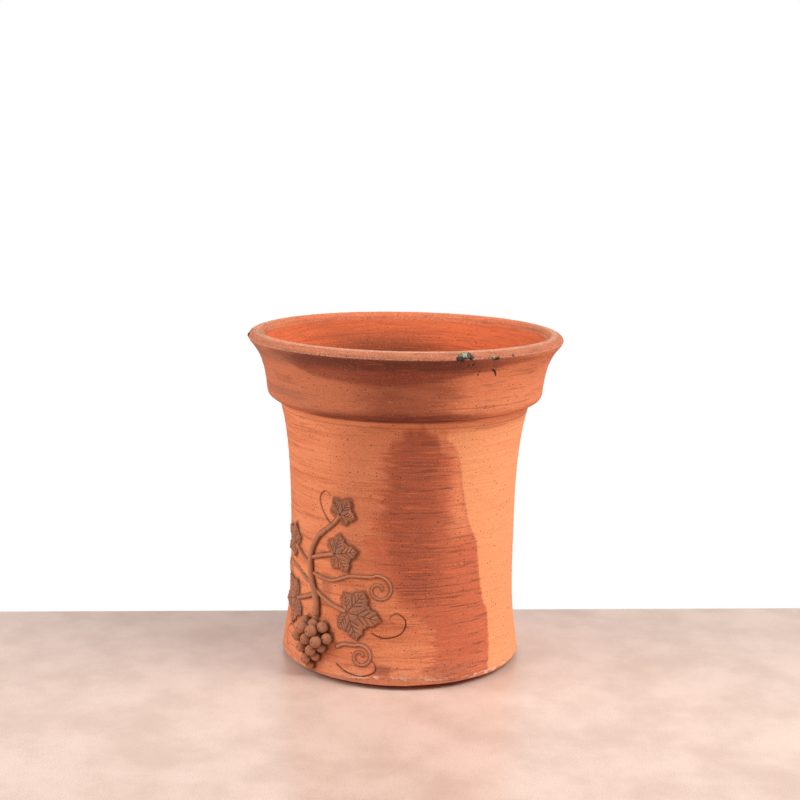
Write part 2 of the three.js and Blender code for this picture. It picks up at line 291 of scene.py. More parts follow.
@dataclass(frozen=True)
class Wall:
    """The pot's outside, unrolled from the axis of the sprig."""

    stations: tuple[Vector, ...]
    azimuth: float = math.radians(-45)
    waist: float = PotSizes.waist

    def radius(self, height: float) -> float:
        """Reads the wall's outer radius.

        Args:
            height: The height above the ground.

        Returns:
            The radius there.
        """
        heights = [p.y for p in self.stations]
        i = min(max(bisect_right(heights, height), 1), len(heights) - 1)
        low, high = self.stations[i - 1], self.stations[i]
        share = (height - low.y) / (high.y - low.y)
        return lerp(low.x, high.x, min(max(share, 0.0), 1.0))

    def point(self, u: float, v: float, w: float) -> Vector:
        """Finds a place on or off the wall.

        Args:
            u: How far it lies along the wall from the sprig's axis.
            v: Its height.
            w: How far it lies outside the wall.

        Returns:
            The point in space.
        """
        azimuth = self.azimuth + u / self.waist
        radius = self.radius(v) + w
        return Vector((radius * math.sin(azimuth), -radius * math.cos(azimuth), v))

    def unroll(self, point: Vector) -> Uv:
        """Places a point on the unrolled wall.

        Args:
            point: The point in space.

        Returns:
            How far along the wall and how high up it lies.
        """
        turned = math.atan2(point.x, -point.y) - self.azimuth
        turned = (turned + math.pi) % TURN - math.pi
        return turned * self.waist, point.z

    def normal(self, u: float, v: float) -> Vector:
        """Finds which way the wall faces.

        Args:
            u: How far the place lies along the wall from the sprig's axis.
            v: Its height.

        Returns:
            The direction square to the wall there.
        """
        across = self.point(u + MM, v, 0) - self.point(u - MM, v, 0)
        up = self.point(u, v + MM, 0) - self.point(u, v - MM, 0)
        return across.cross(up).normalized()


# ---------------------------------------------------------------------------------------------
# Shared mesh work
# ---------------------------------------------------------------------------------------------


def finish_mesh(bm: bmesh.types.BMesh, name: str, slot: Slot, *replaced: str) -> bpy.types.Object:
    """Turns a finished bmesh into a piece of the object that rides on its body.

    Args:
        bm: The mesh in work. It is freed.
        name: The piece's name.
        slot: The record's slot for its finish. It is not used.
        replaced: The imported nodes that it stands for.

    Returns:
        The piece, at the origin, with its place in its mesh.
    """
    bmesh.ops.remove_doubles(bm, verts=bm.verts, dist=0.001 * MM)
    bmesh.ops.recalc_face_normals(bm, faces=bm.faces)
    for face in bm.faces:
        face.smooth = True
    mesh = bpy.data.meshes.new(name)
    bm.to_mesh(mesh)
    bm.free()
    piece = bpy.data.objects.new(name, mesh)
    bpy.context.scene.collection.objects.link(piece)
    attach(piece, BODY)
    if replaced:
        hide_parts(*replaced)
    log.info("%s: %d vertices, %d faces", name, len(mesh.vertices), len(mesh.polygons))
    return piece


def dress(piece: bpy.types.Object, material: bpy.types.Material) -> None:
    """Gives a piece its only material."""
    piece.data.materials.clear()
    piece.data.materials.append(material)


def spline(points: Sequence[Uv], step: float) -> list[Vector]:
    """Runs a smooth line through places on the wall.

    Args:
        points: The places, in order.
        step: How far apart the line's points lie.

    Returns:
        The line's points, evenly spaced, from the first place to the last.
    """
    knots = [Vector(p) for p in points]
    knots = [knots[0] * 2 - knots[1], *knots, knots[-1] * 2 - knots[-2]]
    dense: list[Vector] = []
    for a, b, c, d in zip(knots, knots[1:], knots[2:], knots[3:]):
        leave, reach = b + (c - a) / 6, c - (d - b) / 6
        count = max(3, round((c - b).length / step) * 2)
        part = [p.to_2d() for p in geometry.interpolate_bezier(b, leave, reach, c, count)]
        dense += part if not dense else part[1:]
    return evenly(dense, step)


def evenly(line: Sequence[Vector], step: float) -> list[Vector]:
    """Spaces a line's points evenly.

    Args:
        line: The line's points.
        step: About how far apart they shall lie.

    Returns:
        The new points, with the line's own two ends.
    """
    lengths = [0.0]
    for a, b in zip(line, line[1:]):
        lengths.append(lengths[-1] + (b - a).length)
    count = max(2, round(lengths[-1] / step))
    result = []
    for k in range(count + 1):
        target = lengths[-1] * k / count
        i = min(max(bisect_right(lengths, target), 1), len(line) - 1)
        share = (target - lengths[i - 1]) / max(lengths[i] - lengths[i - 1], 1e-9)
        result.append(line[i - 1].lerp(line[i], share))
    return result


def search_tree(places: Sequence[Vector]) -> kdtree.KDTree:
    """Makes places on the unrolled wall easy to search.

    Args:
        places: The places.

    Returns:
        A search tree over them.
    """
    tree = kdtree.KDTree(len(places))
    for i, place in enumerate(places):
        tree.insert(place.to_3d(), i)
    tree.balance()
    return tree


# ---------------------------------------------------------------------------------------------
# The vine sprig
# ---------------------------------------------------------------------------------------------


@dataclass(frozen=True)
class Lobe:
    """One lobe of a leaf: its direction from the tip in degrees, its reach and its width."""

    turn: float
    reach: float
    spread: float


@dataclass(frozen=True)
class LeafPlan:
    """Where one leaf lies, how long it is, and where its petiole leaves the cane."""

    at: Uv
    length: float
    heading: float
    joins: float


@dataclass(frozen=True)
class TendrilPlan:
    """A tendril's places, the middle of its curl, its turns, and its way round."""

    through: tuple[Uv, ...]
    around: Uv
    turns: float
    way: int
    joins: float = 0.0


@dataclass(frozen=True)
class SprigSizes:
    """The vine sprig's driving sizes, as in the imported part."""

    span: float = 100 * MM
    bunch_top: float = 44 * MM
    berry: float = 4.75 * MM
    cane: float = 3.2 * MM
    cane_tip: float = 1.6 * MM
    cane_foot: float = 3 * MM
    petiole: float = 1.5 * MM
    tendril: float = 1.25 * MM
    tendril_tip: float = 0.6 * MM
    tendril_eye: float = 2.2 * MM
    large_leaf: float = 24 * MM
    middle_leaf: float = 18 * MM
    small_leaf: float = 14 * MM
    leaf_thickness: float = 2.8 * MM
    leaf_edge: float = 1.1 * MM
    leaf_lift: float = 3.5 * MM
    leaf_body: float = 0.62
    leaf_tooth: float = 0.07


@dataclass(frozen=True)
class Coil:
    """A rolled coil of clay that is pressed on the wall.

    Attributes:
        name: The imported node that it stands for.
        course: Its course on the wall.
        radii: Its radius at its start and at its end.
        sides: How many sides its section has.
        step: How far apart its sections lie.
        seat_share: The share of its radius at which its middle stands off the wall.
        pressed_in: How far it is pressed into the wall.
        roll: How uneven the rolling left it, as a share of its radius.
        blunt: The share of its radius that is left at its very ends.
    """

    name: str
    course: Sequence[Vector]
    radii: tuple[float, float]
    sides: int = 16
    step: float = 0.7 * MM
    seat_share: float = 0.8
    pressed_in: float = 0.35 * MM
    roll: float = 0.07
    blunt: float = 0.12

    @cached_property
    def line(self) -> list[Vector]:
        """Returns the course, evenly spaced."""
        return evenly(self.course, self.step)

    def radius(self, share: float) -> float:
        """Reads the coil's radius, with its rounded ends.

        Args:
            share: The share of its length.

        Returns:
            The radius there.
        """
        radius = lerp(*self.radii, share)
        length = self.step * (len(self.line) - 1)
        to_end = min(share, 1 - share) * length
        rounded = math.sqrt(max(0.0, 1 - (1 - min(to_end / radius, 1)) ** 2))
        return radius * max(rounded, self.blunt)

    def footprint(self) -> list[tuple[Vector, float]]:
        """Returns the places under the coil, each with how far its clay reaches there."""
        last = len(self.line) - 1
        return [(p, self.radius(i / last)) for i, p in enumerate(self.line)]

    def build(self, wall: Wall) -> bpy.types.Object:
        """Extrudes a round section along the line.

        Args:
            wall: The wall that the coil is pressed on.

        Returns:
            The coil.
        """
        bm = bmesh.new()
        recess = bm.verts.layers.float.new("recess")
        rings = [bmesh.ops.create_circle(bm, segments=self.sides, radius=1, cap_ends=False)["verts"]]
        edges = list(bm.edges)
        for _ in self.line[1:]:
            grown = bmesh.ops.extrude_edge_only(bm, edges=edges)["geom"]
            made = [g for g in grown if isinstance(g, bmesh.types.BMVert)]
            edges = [g for g in grown if isinstance(g, bmesh.types.BMEdge)
                     and all(v in made for v in g.verts)]
            rings.append(made)
        for i, verts in enumerate(rings):
            self._lay_ring(verts, i, wall, recess)
        bmesh.ops.holes_fill(bm, edges=[e for e in bm.edges if e.is_boundary], sides=0)
        return finish_mesh(bm, self.name + "_rolled", Slot.SPRIG, self.name)

    def _lay_ring(self, verts: Sequence[bmesh.types.BMVert], i: int, wall: Wall,
                  recess: bmesh.types.BMLayerItem) -> None:
        """Lays one ring of the section on the wall.

        Args:
            verts: The ring's vertices. They still lie on the unit circle.
            i: The ring's place in the line.
            wall: The wall that the coil is pressed on.
            recess: The layer that holds how deep in a recess a vertex lies, which is how much painted shade
                it takes.
        """
        last = len(self.line) - 1
        here = self.line[i]
        ahead = (self.line[min(i + 1, last)] - self.line[max(i - 1, 0)]).normalized()
        radius = self.radius(i / last)
        for vert in verts:
            angle = math.atan2(vert.co.y, vert.co.x)
            rolled = noise.noise(Vector((here.x, here.y, 0)) * 260 + Vector((0, 0, angle)))
            size = radius * (1 + self.roll * rolled)
            across = -size * math.cos(angle)
            out = max(0.0, size * (self.seat_share + math.sin(angle)))
            # painted shade on the coil's underside, darkest where it meets the wall
            vert[recess] = 1 - smooth(out, 0, radius)
            u, v = here.x + ahead.y * across, here.y - ahead.x * across
            vert.co = wall.point(u, v, out - self.pressed_in)


@dataclass(frozen=True)
class VineLeaf:
    """A leaf, pinched out of a pellet and pressed on the wall.

    Attributes:
        name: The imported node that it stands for.
        plan: Where it lies and which way it points.
        sizes: The sprig's sizes.
        seed: Sets how its lobes curl.
        lobes: Its lobes, and its sinus as a lobe that reaches inwards.
        spokes: How many facets its margin has.
        rings: How many rings of facets lie between its middle and its margin.
        teeth: How many teeth its margin has.
        vein_width: How wide its veins are pressed in.
        vein_depth: How deep they are.
        vein_ends: The shares of the way to the margin at which a main vein starts and ends.
        side_veins: The shares of a main vein at which side veins leave it.
        side_vein_turn: How far side veins turn away, in degrees.
        puff: How far the clay between the veins stands up.
        pinch: How uneven the fingers left it.
        pressed_in: How far it is pressed into the wall.
    """

    name: str
    plan: LeafPlan
    sizes: SprigSizes
    seed: int
    lobes: tuple[Lobe, ...] = (
        Lobe(0, 0.38, 22),
        Lobe(72, 0.29, 22),
        Lobe(-72, 0.29, 22),
        Lobe(126, 0.16, 18),
        Lobe(-126, 0.16, 18),
        Lobe(180, -0.36, 22),
    )
    spokes: int = 220
    rings: int = 36
    teeth: int = 20
    vein_width: float = 0.42 * MM
    vein_depth: float = 0.55 * MM
    vein_ends: tuple[float, float] = (0.75, 0.93)
    side_veins: tuple[float, ...] = (0.3, 0.5, 0.7)
    side_vein_turn: float = 42
    puff: float = 0.45 * MM
    pinch: float = 0.18 * MM
    pressed_in: float = 0.3 * MM

    @property
    def middle(self) -> Vector:
        """Returns the leaf's middle on the unrolled wall."""
        return Vector(self.plan.at) * self.sizes.span

    @property
    def phase(self) -> Vector:
        """Returns where in the noise this leaf is read."""
        return Vector((self.seed * 3.7, self.seed * 1.3, self.seed * 5.1))

    def reach(self, turn: float) -> float:
        """Finds the leaf's margin.

        Args:
            turn: Degrees from the leaf's tip.

        Returns:
            How far the leaf reaches from its middle there.
        """
        share = self.sizes.leaf_body
        for lobe in self.lobes:
            off = abs((turn - lobe.turn + 180) % 360 - 180)
            share += lobe.reach * math.exp(-((off / lobe.spread) ** 2))
        return share * self.plan.length

    def place(self, turn: float, share: float) -> Vector:
        """Returns a place on the leaf, on the unrolled wall.

        Args:
            turn: Degrees from the leaf's tip.
            share: The share of the way from its middle to its margin.

        Returns:
            The place in u and v.
        """
        tooth = 0.5 - 0.5 * math.cos(math.radians(turn) * self.teeth)
        tooth = abs(2 * (tooth - 0.5)) if tooth < 0.5 else 0.0
        reach = self.reach(turn) * share * (1 - self.sizes.leaf_tooth * share**3 * (1 - tooth))
        way = math.radians(self.plan.heading + turn)
        return self.middle + Vector((math.sin(way), math.cos(way))) * reach

    @cached_property
    def veins(self) -> kdtree.KDTree:
        """Lays the main veins from the sinus to the lobes, and the side veins off them.

        Returns:
            A tree of places along all the veins.
        """
        root = self.place(180, self.vein_ends[0])
        places: list[Vector] = []
        for lobe in self.lobes:
            if lobe.reach < 0:
                continue
            tip = self.place(lobe.turn, self.vein_ends[1])
            places += evenly([root, tip], self.vein_width / 3)
            along = tip - root
            for share in self.side_veins:
                for side in (-1, 1):
                    turned = along.copy()
                    turned.rotate(Matrix.Rotation(math.radians(side * self.side_vein_turn), 2))
                    start = root + along * share
                    length = 0.42 * (1 - share) + 0.06
                    places += evenly([start, start + turned * length], self.vein_width / 2)
        return search_tree(places)

    def footprint(self) -> list[tuple[Vector, float]]:
        """Lists the places under the leaf.

        Returns:
            The places, each with how far the leaf's clay reaches there.
        """
        patch = 1.2 * MM
        return [(self.place(turn, share), patch)
                for turn in range(0, 360, 4) for share in (0.25, 0.5, 0.7, 0.86, 0.95)]

    def _lift(self, place: Vector) -> float:
        """Curls the leaf's lobes off the wall.

        Args:
            place: The place on the unrolled wall.

        Returns:
            How far the leaf's back stands off the wall there.
        """
        out = place - self.middle
        curl = 0.75 + 0.9 * noise.noise(out.to_3d() * 45 + self.phase)
        return self.sizes.leaf_lift * curl * (out.length / self.plan.length) ** 3

    def build(self, wall: Wall) -> bpy.types.Object:
        """Makes a disc of rings, thickens it, and lays it out as the leaf.

        Args:
            wall: The wall that the leaf is pressed on.

        Returns:
            The leaf.
        """
        bm = bmesh.new()
        recess = bm.verts.layers.float.new("recess")
        bmesh.ops.create_circle(bm, cap_ends=True, cap_tris=True, segments=self.spokes, radius=1)
        spokes = [e for e in bm.edges if not e.is_boundary]
        bmesh.ops.subdivide_edges(bm, edges=spokes, cuts=self.rings - 1)
        grown = bmesh.ops.extrude_face_region(bm, geom=list(bm.faces), use_keep_orig=True)["geom"]
        front = {g for g in grown if isinstance(g, bmesh.types.BMVert)}
        for vert in bm.verts:
            flat = vert.co.to_2d()
            share = min(flat.length, 1.0)
            turn = math.degrees(math.atan2(flat.x, flat.y))
            place = self.place(turn, share)
            out = self._lift(place) - self.pressed_in
            if vert in front:
                out += self._thickness(share, place, vert, recess)
            vert.co = wall.point(place.x, place.y, out)
        return finish_mesh(bm, self.name + "_pressed", Slot.SPRIG, self.name)

    def _thickness(self, share: float, place: Vector, vert: bmesh.types.BMVert,
                   recess: bmesh.types.BMLayerItem) -> float:
        """Returns the clay's thickness at a place, with its veins pressed in.

        Args:
            share: The share of the way from the leaf's middle to its margin.
            place: The place on the unrolled wall.
            vert: The vertex there, whose painted shade is set.
            recess: The layer that holds how deep in a recess a vertex lies, which is how much painted shade
                it takes.

        Returns:
            The thickness.
        """
        rounded = math.sqrt(max(0.0, 1 - share**14))
        thick = lerp(self.sizes.leaf_thickness, self.sizes.leaf_edge, share) * (0.25 + 0.75 * rounded)
        distance = self.veins.find(place.to_3d())[2]
        groove = math.exp(-((distance / self.vein_width) ** 2)) * rounded
        puff = self.puff * smooth(distance, 0, 3 * MM) * rounded
        pinched = self.pinch * noise.noise(place.to_3d() * 420 + self.phase)
        # painted shade in the pressed veins and along the rim of the margin
        vert[recess] = max(groove * 0.6, 1 - rounded)
        return thick + puff + pinched - self.vein_depth * groove


@dataclass
class Berry:
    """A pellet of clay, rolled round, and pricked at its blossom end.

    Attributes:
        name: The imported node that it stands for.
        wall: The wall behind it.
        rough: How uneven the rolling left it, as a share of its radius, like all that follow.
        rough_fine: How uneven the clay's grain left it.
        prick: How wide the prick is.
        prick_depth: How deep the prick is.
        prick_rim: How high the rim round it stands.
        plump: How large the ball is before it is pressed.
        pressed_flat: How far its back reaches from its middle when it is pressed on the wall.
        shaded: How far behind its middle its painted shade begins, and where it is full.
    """

    name: str
    wall: Wall
    rough: float = 0.035
    rough_fine: float = 0.012
    prick: float = 0.14
    prick_depth: float = 0.1
    prick_rim: float = 0.03
    plump: float = 1.03
    pressed_flat: float = 0.88
    shaded: tuple[float, float] = (-0.35, 0.75)

    def __post_init__(self) -> None:
        """Reads the pellet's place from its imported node."""
        low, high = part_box(self.name)
        self.out = self.wall.normal(*self.wall.unroll((low + high) / 2))
        corners = [v.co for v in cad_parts[self.name].data.vertices]
        top = max(corners, key=lambda p: p.dot(self.out))
        self.radius = max((p - top - self.out * (p - top).dot(self.out)).length for p in corners)
        self.centre = top - self.out * self.radius
        self.seated = "_seated_" in self.name

    def build(self) -> bpy.types.Object:
        """Rolls the pellet from a fine ball.

        Returns:
            The berry.
        """
        bm = bmesh.new()
        recess = bm.verts.layers.float.new("recess")
        bmesh.ops.create_icosphere(bm, subdivisions=4, radius=1)
        seed = self.centre * 900
        for vert in bm.verts:
            way = vert.co.normalized()
            size = 1 + self.rough * noise.noise(way * 1.7 + seed)
            size += self.rough_fine * noise.noise(way * 6 + seed)
            off = (way - self.out).length
            prick = math.exp(-((off / self.prick) ** 2))
            rim = math.exp(-(((off - self.prick * 1.9) / self.prick) ** 2))
            size += self.prick_rim * rim - self.prick_depth * prick
            behind = -way.dot(self.out)
            if self.seated:
                size = min(size, self.pressed_flat / max(behind, 0.01))
            # painted shade in the prick and on the back, which faces the wall
            vert[recess] = max(prick, smooth(behind, *self.shaded))
            vert.co = self.centre + way * self.radius * self.plump * size
        return finish_mesh(bm, self.name + "_pellet", Slot.BERRY, self.name)


class VineSprig:
    """The whole sprig: the cane, five leaves on petioles, three tendrils and a bunch of berries."""

    def __init__(self, wall: Wall, sizes: SprigSizes = SprigSizes()) -> None:
        """Lays the sprig out on the wall.

        Args:
            wall: The wall that it is pressed on.
            sizes: Its sizes.
        """
        self.wall = wall
        self.sizes = sizes
        s = sizes
        cane = [(0, (s.bunch_top + 2 * s.berry) / s.span), (-0.01, 0.66), (-0.08, 0.84)]
        cane += [(-0.085, 1.02), (-0.01, 1.17), (0.09, 1.26)]
        self.cane_line = spline([self._on_sprig(p) for p in cane], 0.5 * MM)
        self.plans = {
            "left": LeafPlan((-0.36, 0.56), s.large_leaf, -108, 0.2),
            "right": LeafPlan((0.36, 0.6), s.large_leaf, 98, 0.26),
            "upper_left": LeafPlan((-0.38, 1.06), s.middle_leaf, -58, 0.5),
            "upper_right": LeafPlan((0.22, 1.08), s.middle_leaf, 76, 0.58),
            "tip": LeafPlan((0.25, 1.43), s.small_leaf, 34, 1.0),
        }
        curls = {
            "right": TendrilPlan(((0.14, 0.84), (0.32, 0.905), (0.5, 0.92)), (0.57, 0.82), 1.35, -1,
                                 0.42),
            "left": TendrilPlan(((-0.18, 0.79), (-0.32, 0.84), (-0.46, 0.85)), (-0.52, 0.775), 1.1, 1,
                                0.3),
            "low": TendrilPlan(((0.22, 0.3), (0.29, 0.335), (0.38, 0.34)), (0.435, 0.255), 1.3, -1),
        }
        self.leaves = [VineLeaf(f"leaf_{key}", plan, s, seed)
                       for seed, (key, plan) in enumerate(self.plans.items())]
        pressed = [self.cane_line[0] - Vector((0, s.cane_foot)), *self.cane_line]
        self.coils = [Coil("vine_cane", pressed, (s.cane, s.cane_tip))]
        self.coils += [Coil(f"petiole_{leaf.name[5:]}", self._petiole(leaf), (s.petiole, s.petiole))
                       for leaf in self.leaves]
        self.coils += [Coil(f"tendril_{key}", self._tendril(plan), (s.tendril, s.tendril_tip))
                       for key, plan in curls.items()]
        names = sorted(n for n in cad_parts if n.startswith("berry_"))
        self.berries = [Berry(name, wall) for name in names]

    def _on_sprig(self, place: Uv) -> Uv:
        """Returns a place in the sprig's layout in metres."""
        return place[0] * self.sizes.span, place[1] * self.sizes.span

    def _on_cane(self, share: float) -> Vector:
        """Returns the point at a share of the cane's length."""
        return self.cane_line[round(share * (len(self.cane_line) - 1))]

    def _petiole(self, leaf: VineLeaf) -> list[Vector]:
        """Bows a petiole from the cane into the sinus of its leaf.

        Args:
            leaf: The leaf that it carries.

        Returns:
            The petiole's course.
        """
        foot = leaf.place(180, 1.0)
        knot = self._on_cane(leaf.plan.joins)
        out = (foot - leaf.middle).normalized()
        bend = foot + out * (foot - knot).length * 0.5
        third = 2 / 3
        curve = geometry.interpolate_bezier(knot, knot.lerp(bend, third), foot.lerp(bend, third),
                                            foot, 40)
        return [p.to_2d() for p in curve]

    def _tendril(self, plan: TendrilPlan) -> list[Vector]:
        """Runs a tendril through its places and winds it in round its eye.

        Args:
            plan: The tendril's places and turns.

        Returns:
            The tendril's course.
        """
        lead = [Vector(self._on_sprig(p)) for p in plan.through]
        eye = Vector(self._on_sprig(plan.around))
        if plan.joins:
            lead.insert(0, self._on_cane(plan.joins))
        start = lead[-1] - eye
        angle = math.atan2(start.y, start.x)
        steps = round(plan.turns * 16)
        for i in range(1, steps + 1):
            share = i / steps
            radius = lerp(start.length, self.sizes.tendril_eye, share)
            way = angle + plan.way * TURN * plan.turns * share
            lead.append(eye + Vector((math.cos(way), math.sin(way))) * radius)
        return spline([tuple(p) for p in lead], 0.5 * MM)

    def footprint(self) -> list[tuple[Vector, float]]:
        """Lists the places under the whole sprig.

        Returns:
            The places, each with how far the sprig's clay reaches there.
        """
        places = [spot for piece in [*self.coils, *self.leaves] for spot in piece.footprint()]
        for berry in self.berries:
            if berry.seated:
                places.append((Vector(self.wall.unroll(berry.centre)), berry.radius * 0.9))
        return places

    def build(self, finish: "SprigClay") -> None:
        """Builds and dresses every piece of the sprig.

        Args:
            finish: The sprig's fired clay.
        """
        clay = finish.material()
        for coil in self.coils:
            dress(coil.build(self.wall), clay)
        for leaf in self.leaves:
            dress(leaf.build(self.wall), clay)
        for berry in self.berries:
            dress(berry.build(), clay)


# ---------------------------------------------------------------------------------------------
# The thrown pot
# ---------------------------------------------------------------------------------------------


@dataclass(frozen=True)
class Stroke:
    """A line drawn in the leather-hard clay: its places in shares of the sprig's span."""

    through: tuple[Uv, ...]
    depth: float = 0.85 * MM
    width: float = 0.6 * MM


@dataclass(frozen=True)
class Marks:
    """What the potter's tools and slip left on the wall round the sprig, with painted shade in its cuts and
    round the sprig's clay.

    Attributes:
        span: The sprig's span.
        footprint: The places under the sprig, each with how far its clay reaches there.
        strokes: The lines drawn beside it.
        step: How far apart the places along a stroke lie.
        burr: How high the clay is pushed up beside a stroke, as a share of its depth.
        slip_height: How thick the slip lies.
        slip_fade: How far from the clay the slip begins to thin out, and how far it reaches.
        slip_stray: How far the slip's edge strays.
        crease: How far from the clay's edge the painted shade in the crease round it lies, and how wide it
            is.
        crease_dark: How dark that painted shade is, as a share of a deep cut.
        deep: How deep a cut is that takes the full painted shade.
        search: How far round a place the sprig's clay is looked for.
    """

    span: float
    footprint: Sequence[tuple[Vector, float]]
    strokes: tuple[Stroke, ...] = (
        Stroke(((0.5, 0.46), (0.62, 0.42), (0.75, 0.46), (0.79, 0.56), (0.72, 0.63), (0.66, 0.585),
                (0.69, 0.54))),
        Stroke(((0.22, 0.17), (0.34, 0.11), (0.47, 0.1), (0.56, 0.15), (0.54, 0.22), (0.48, 0.205))),
        Stroke(((0.14, 1.3), (0.04, 1.42), (0.02, 1.52), (0.08, 1.58), (0.14, 1.55))),
        Stroke(((-0.24, 0.25), (-0.35, 0.31), (-0.46, 0.29), (-0.5, 0.2), (-0.43, 0.13), (-0.37, 0.17))),
    )
    step: float = 0.3 * MM
    burr: float = 0.3
    slip_height: float = 0.42 * MM
    slip_fade: tuple[float, float] = (-0.4 * MM, 2.6 * MM)
    slip_stray: float = 0.9 * MM
    crease: tuple[float, float] = (0.3 * MM, 0.8 * MM)
    crease_dark: float = 0.55
    deep: float = 0.5 * MM
    search: float = 9 * MM

    @cached_property
    def cuts(self) -> list[tuple[Vector, float, float]]:
        """Cuts the strokes, which start gently and grow shallow towards their ends.

        Returns:
            The places along them, each with how wide and how deep the cut is there.
        """
        cuts: list[tuple[Vector, float, float]] = []
        for stroke in self.strokes:
            line = spline([(u * self.span, v * self.span) for u, v in stroke.through], self.step)
            for i, here in enumerate(line):
                share = i / (len(line) - 1)
                fade = smooth(share, 0, 0.06) * (1 - smooth(share, 0.55, 1) * 0.8)
                cuts.append((here, stroke.width, stroke.depth * fade))
        return cuts

    @cached_property
    def cut_tree(self) -> kdtree.KDTree:
        """Returns a tree of the places along the strokes."""
        return search_tree([place for place, _, _ in self.cuts])

    @cached_property
    def clay_tree(self) -> kdtree.KDTree:
        """Returns a tree of the places under the sprig."""
        return search_tree([place for place, _ in self.footprint])

    def relief(self, place: Vector) -> tuple[float, float, float]:
        """Reads the wall's relief at a place.

        Args:
            place: The place on the unrolled wall.

        Returns:
            How far the wall stands out there, its painted shade from 0 to 1, and its slip from 0 to 1.
        """
        _, i, distance = self.cut_tree.find(place.to_3d())
        _, width, depth = self.cuts[i]
        groove = math.exp(-((distance / width) ** 2))
        burr = math.exp(-(((distance - 2 * width) / (0.7 * width)) ** 2))
        out = depth * (self.burr * burr - groove)
        # painted shade in the cut, darker the deeper it is
        recess = groove * min(depth / self.deep, 1)
        near = self.clay_tree.find_range(place.to_3d(), self.search)
        edge = min((d - self.footprint[k][1] for _, k, d in near), default=self.search)
        ragged = self.slip_stray * noise.noise(place.to_3d() * 330)
        slip = 1 - smooth(edge + ragged, *self.slip_fade)
        # painted shade in the crease round the sprig's clay, where it meets the wall
        crease_off, crease_width = self.crease
        crease = math.exp(-(((edge - crease_off) / crease_width) ** 2))
        return out + self.slip_height * slip, max(recess, self.crease_dark * crease), slip


@dataclass(frozen=True)
class Ridge:
    """A kind of ring that the potter's fingers leave: how high, and how far apart."""

    height: float
    pitch: float


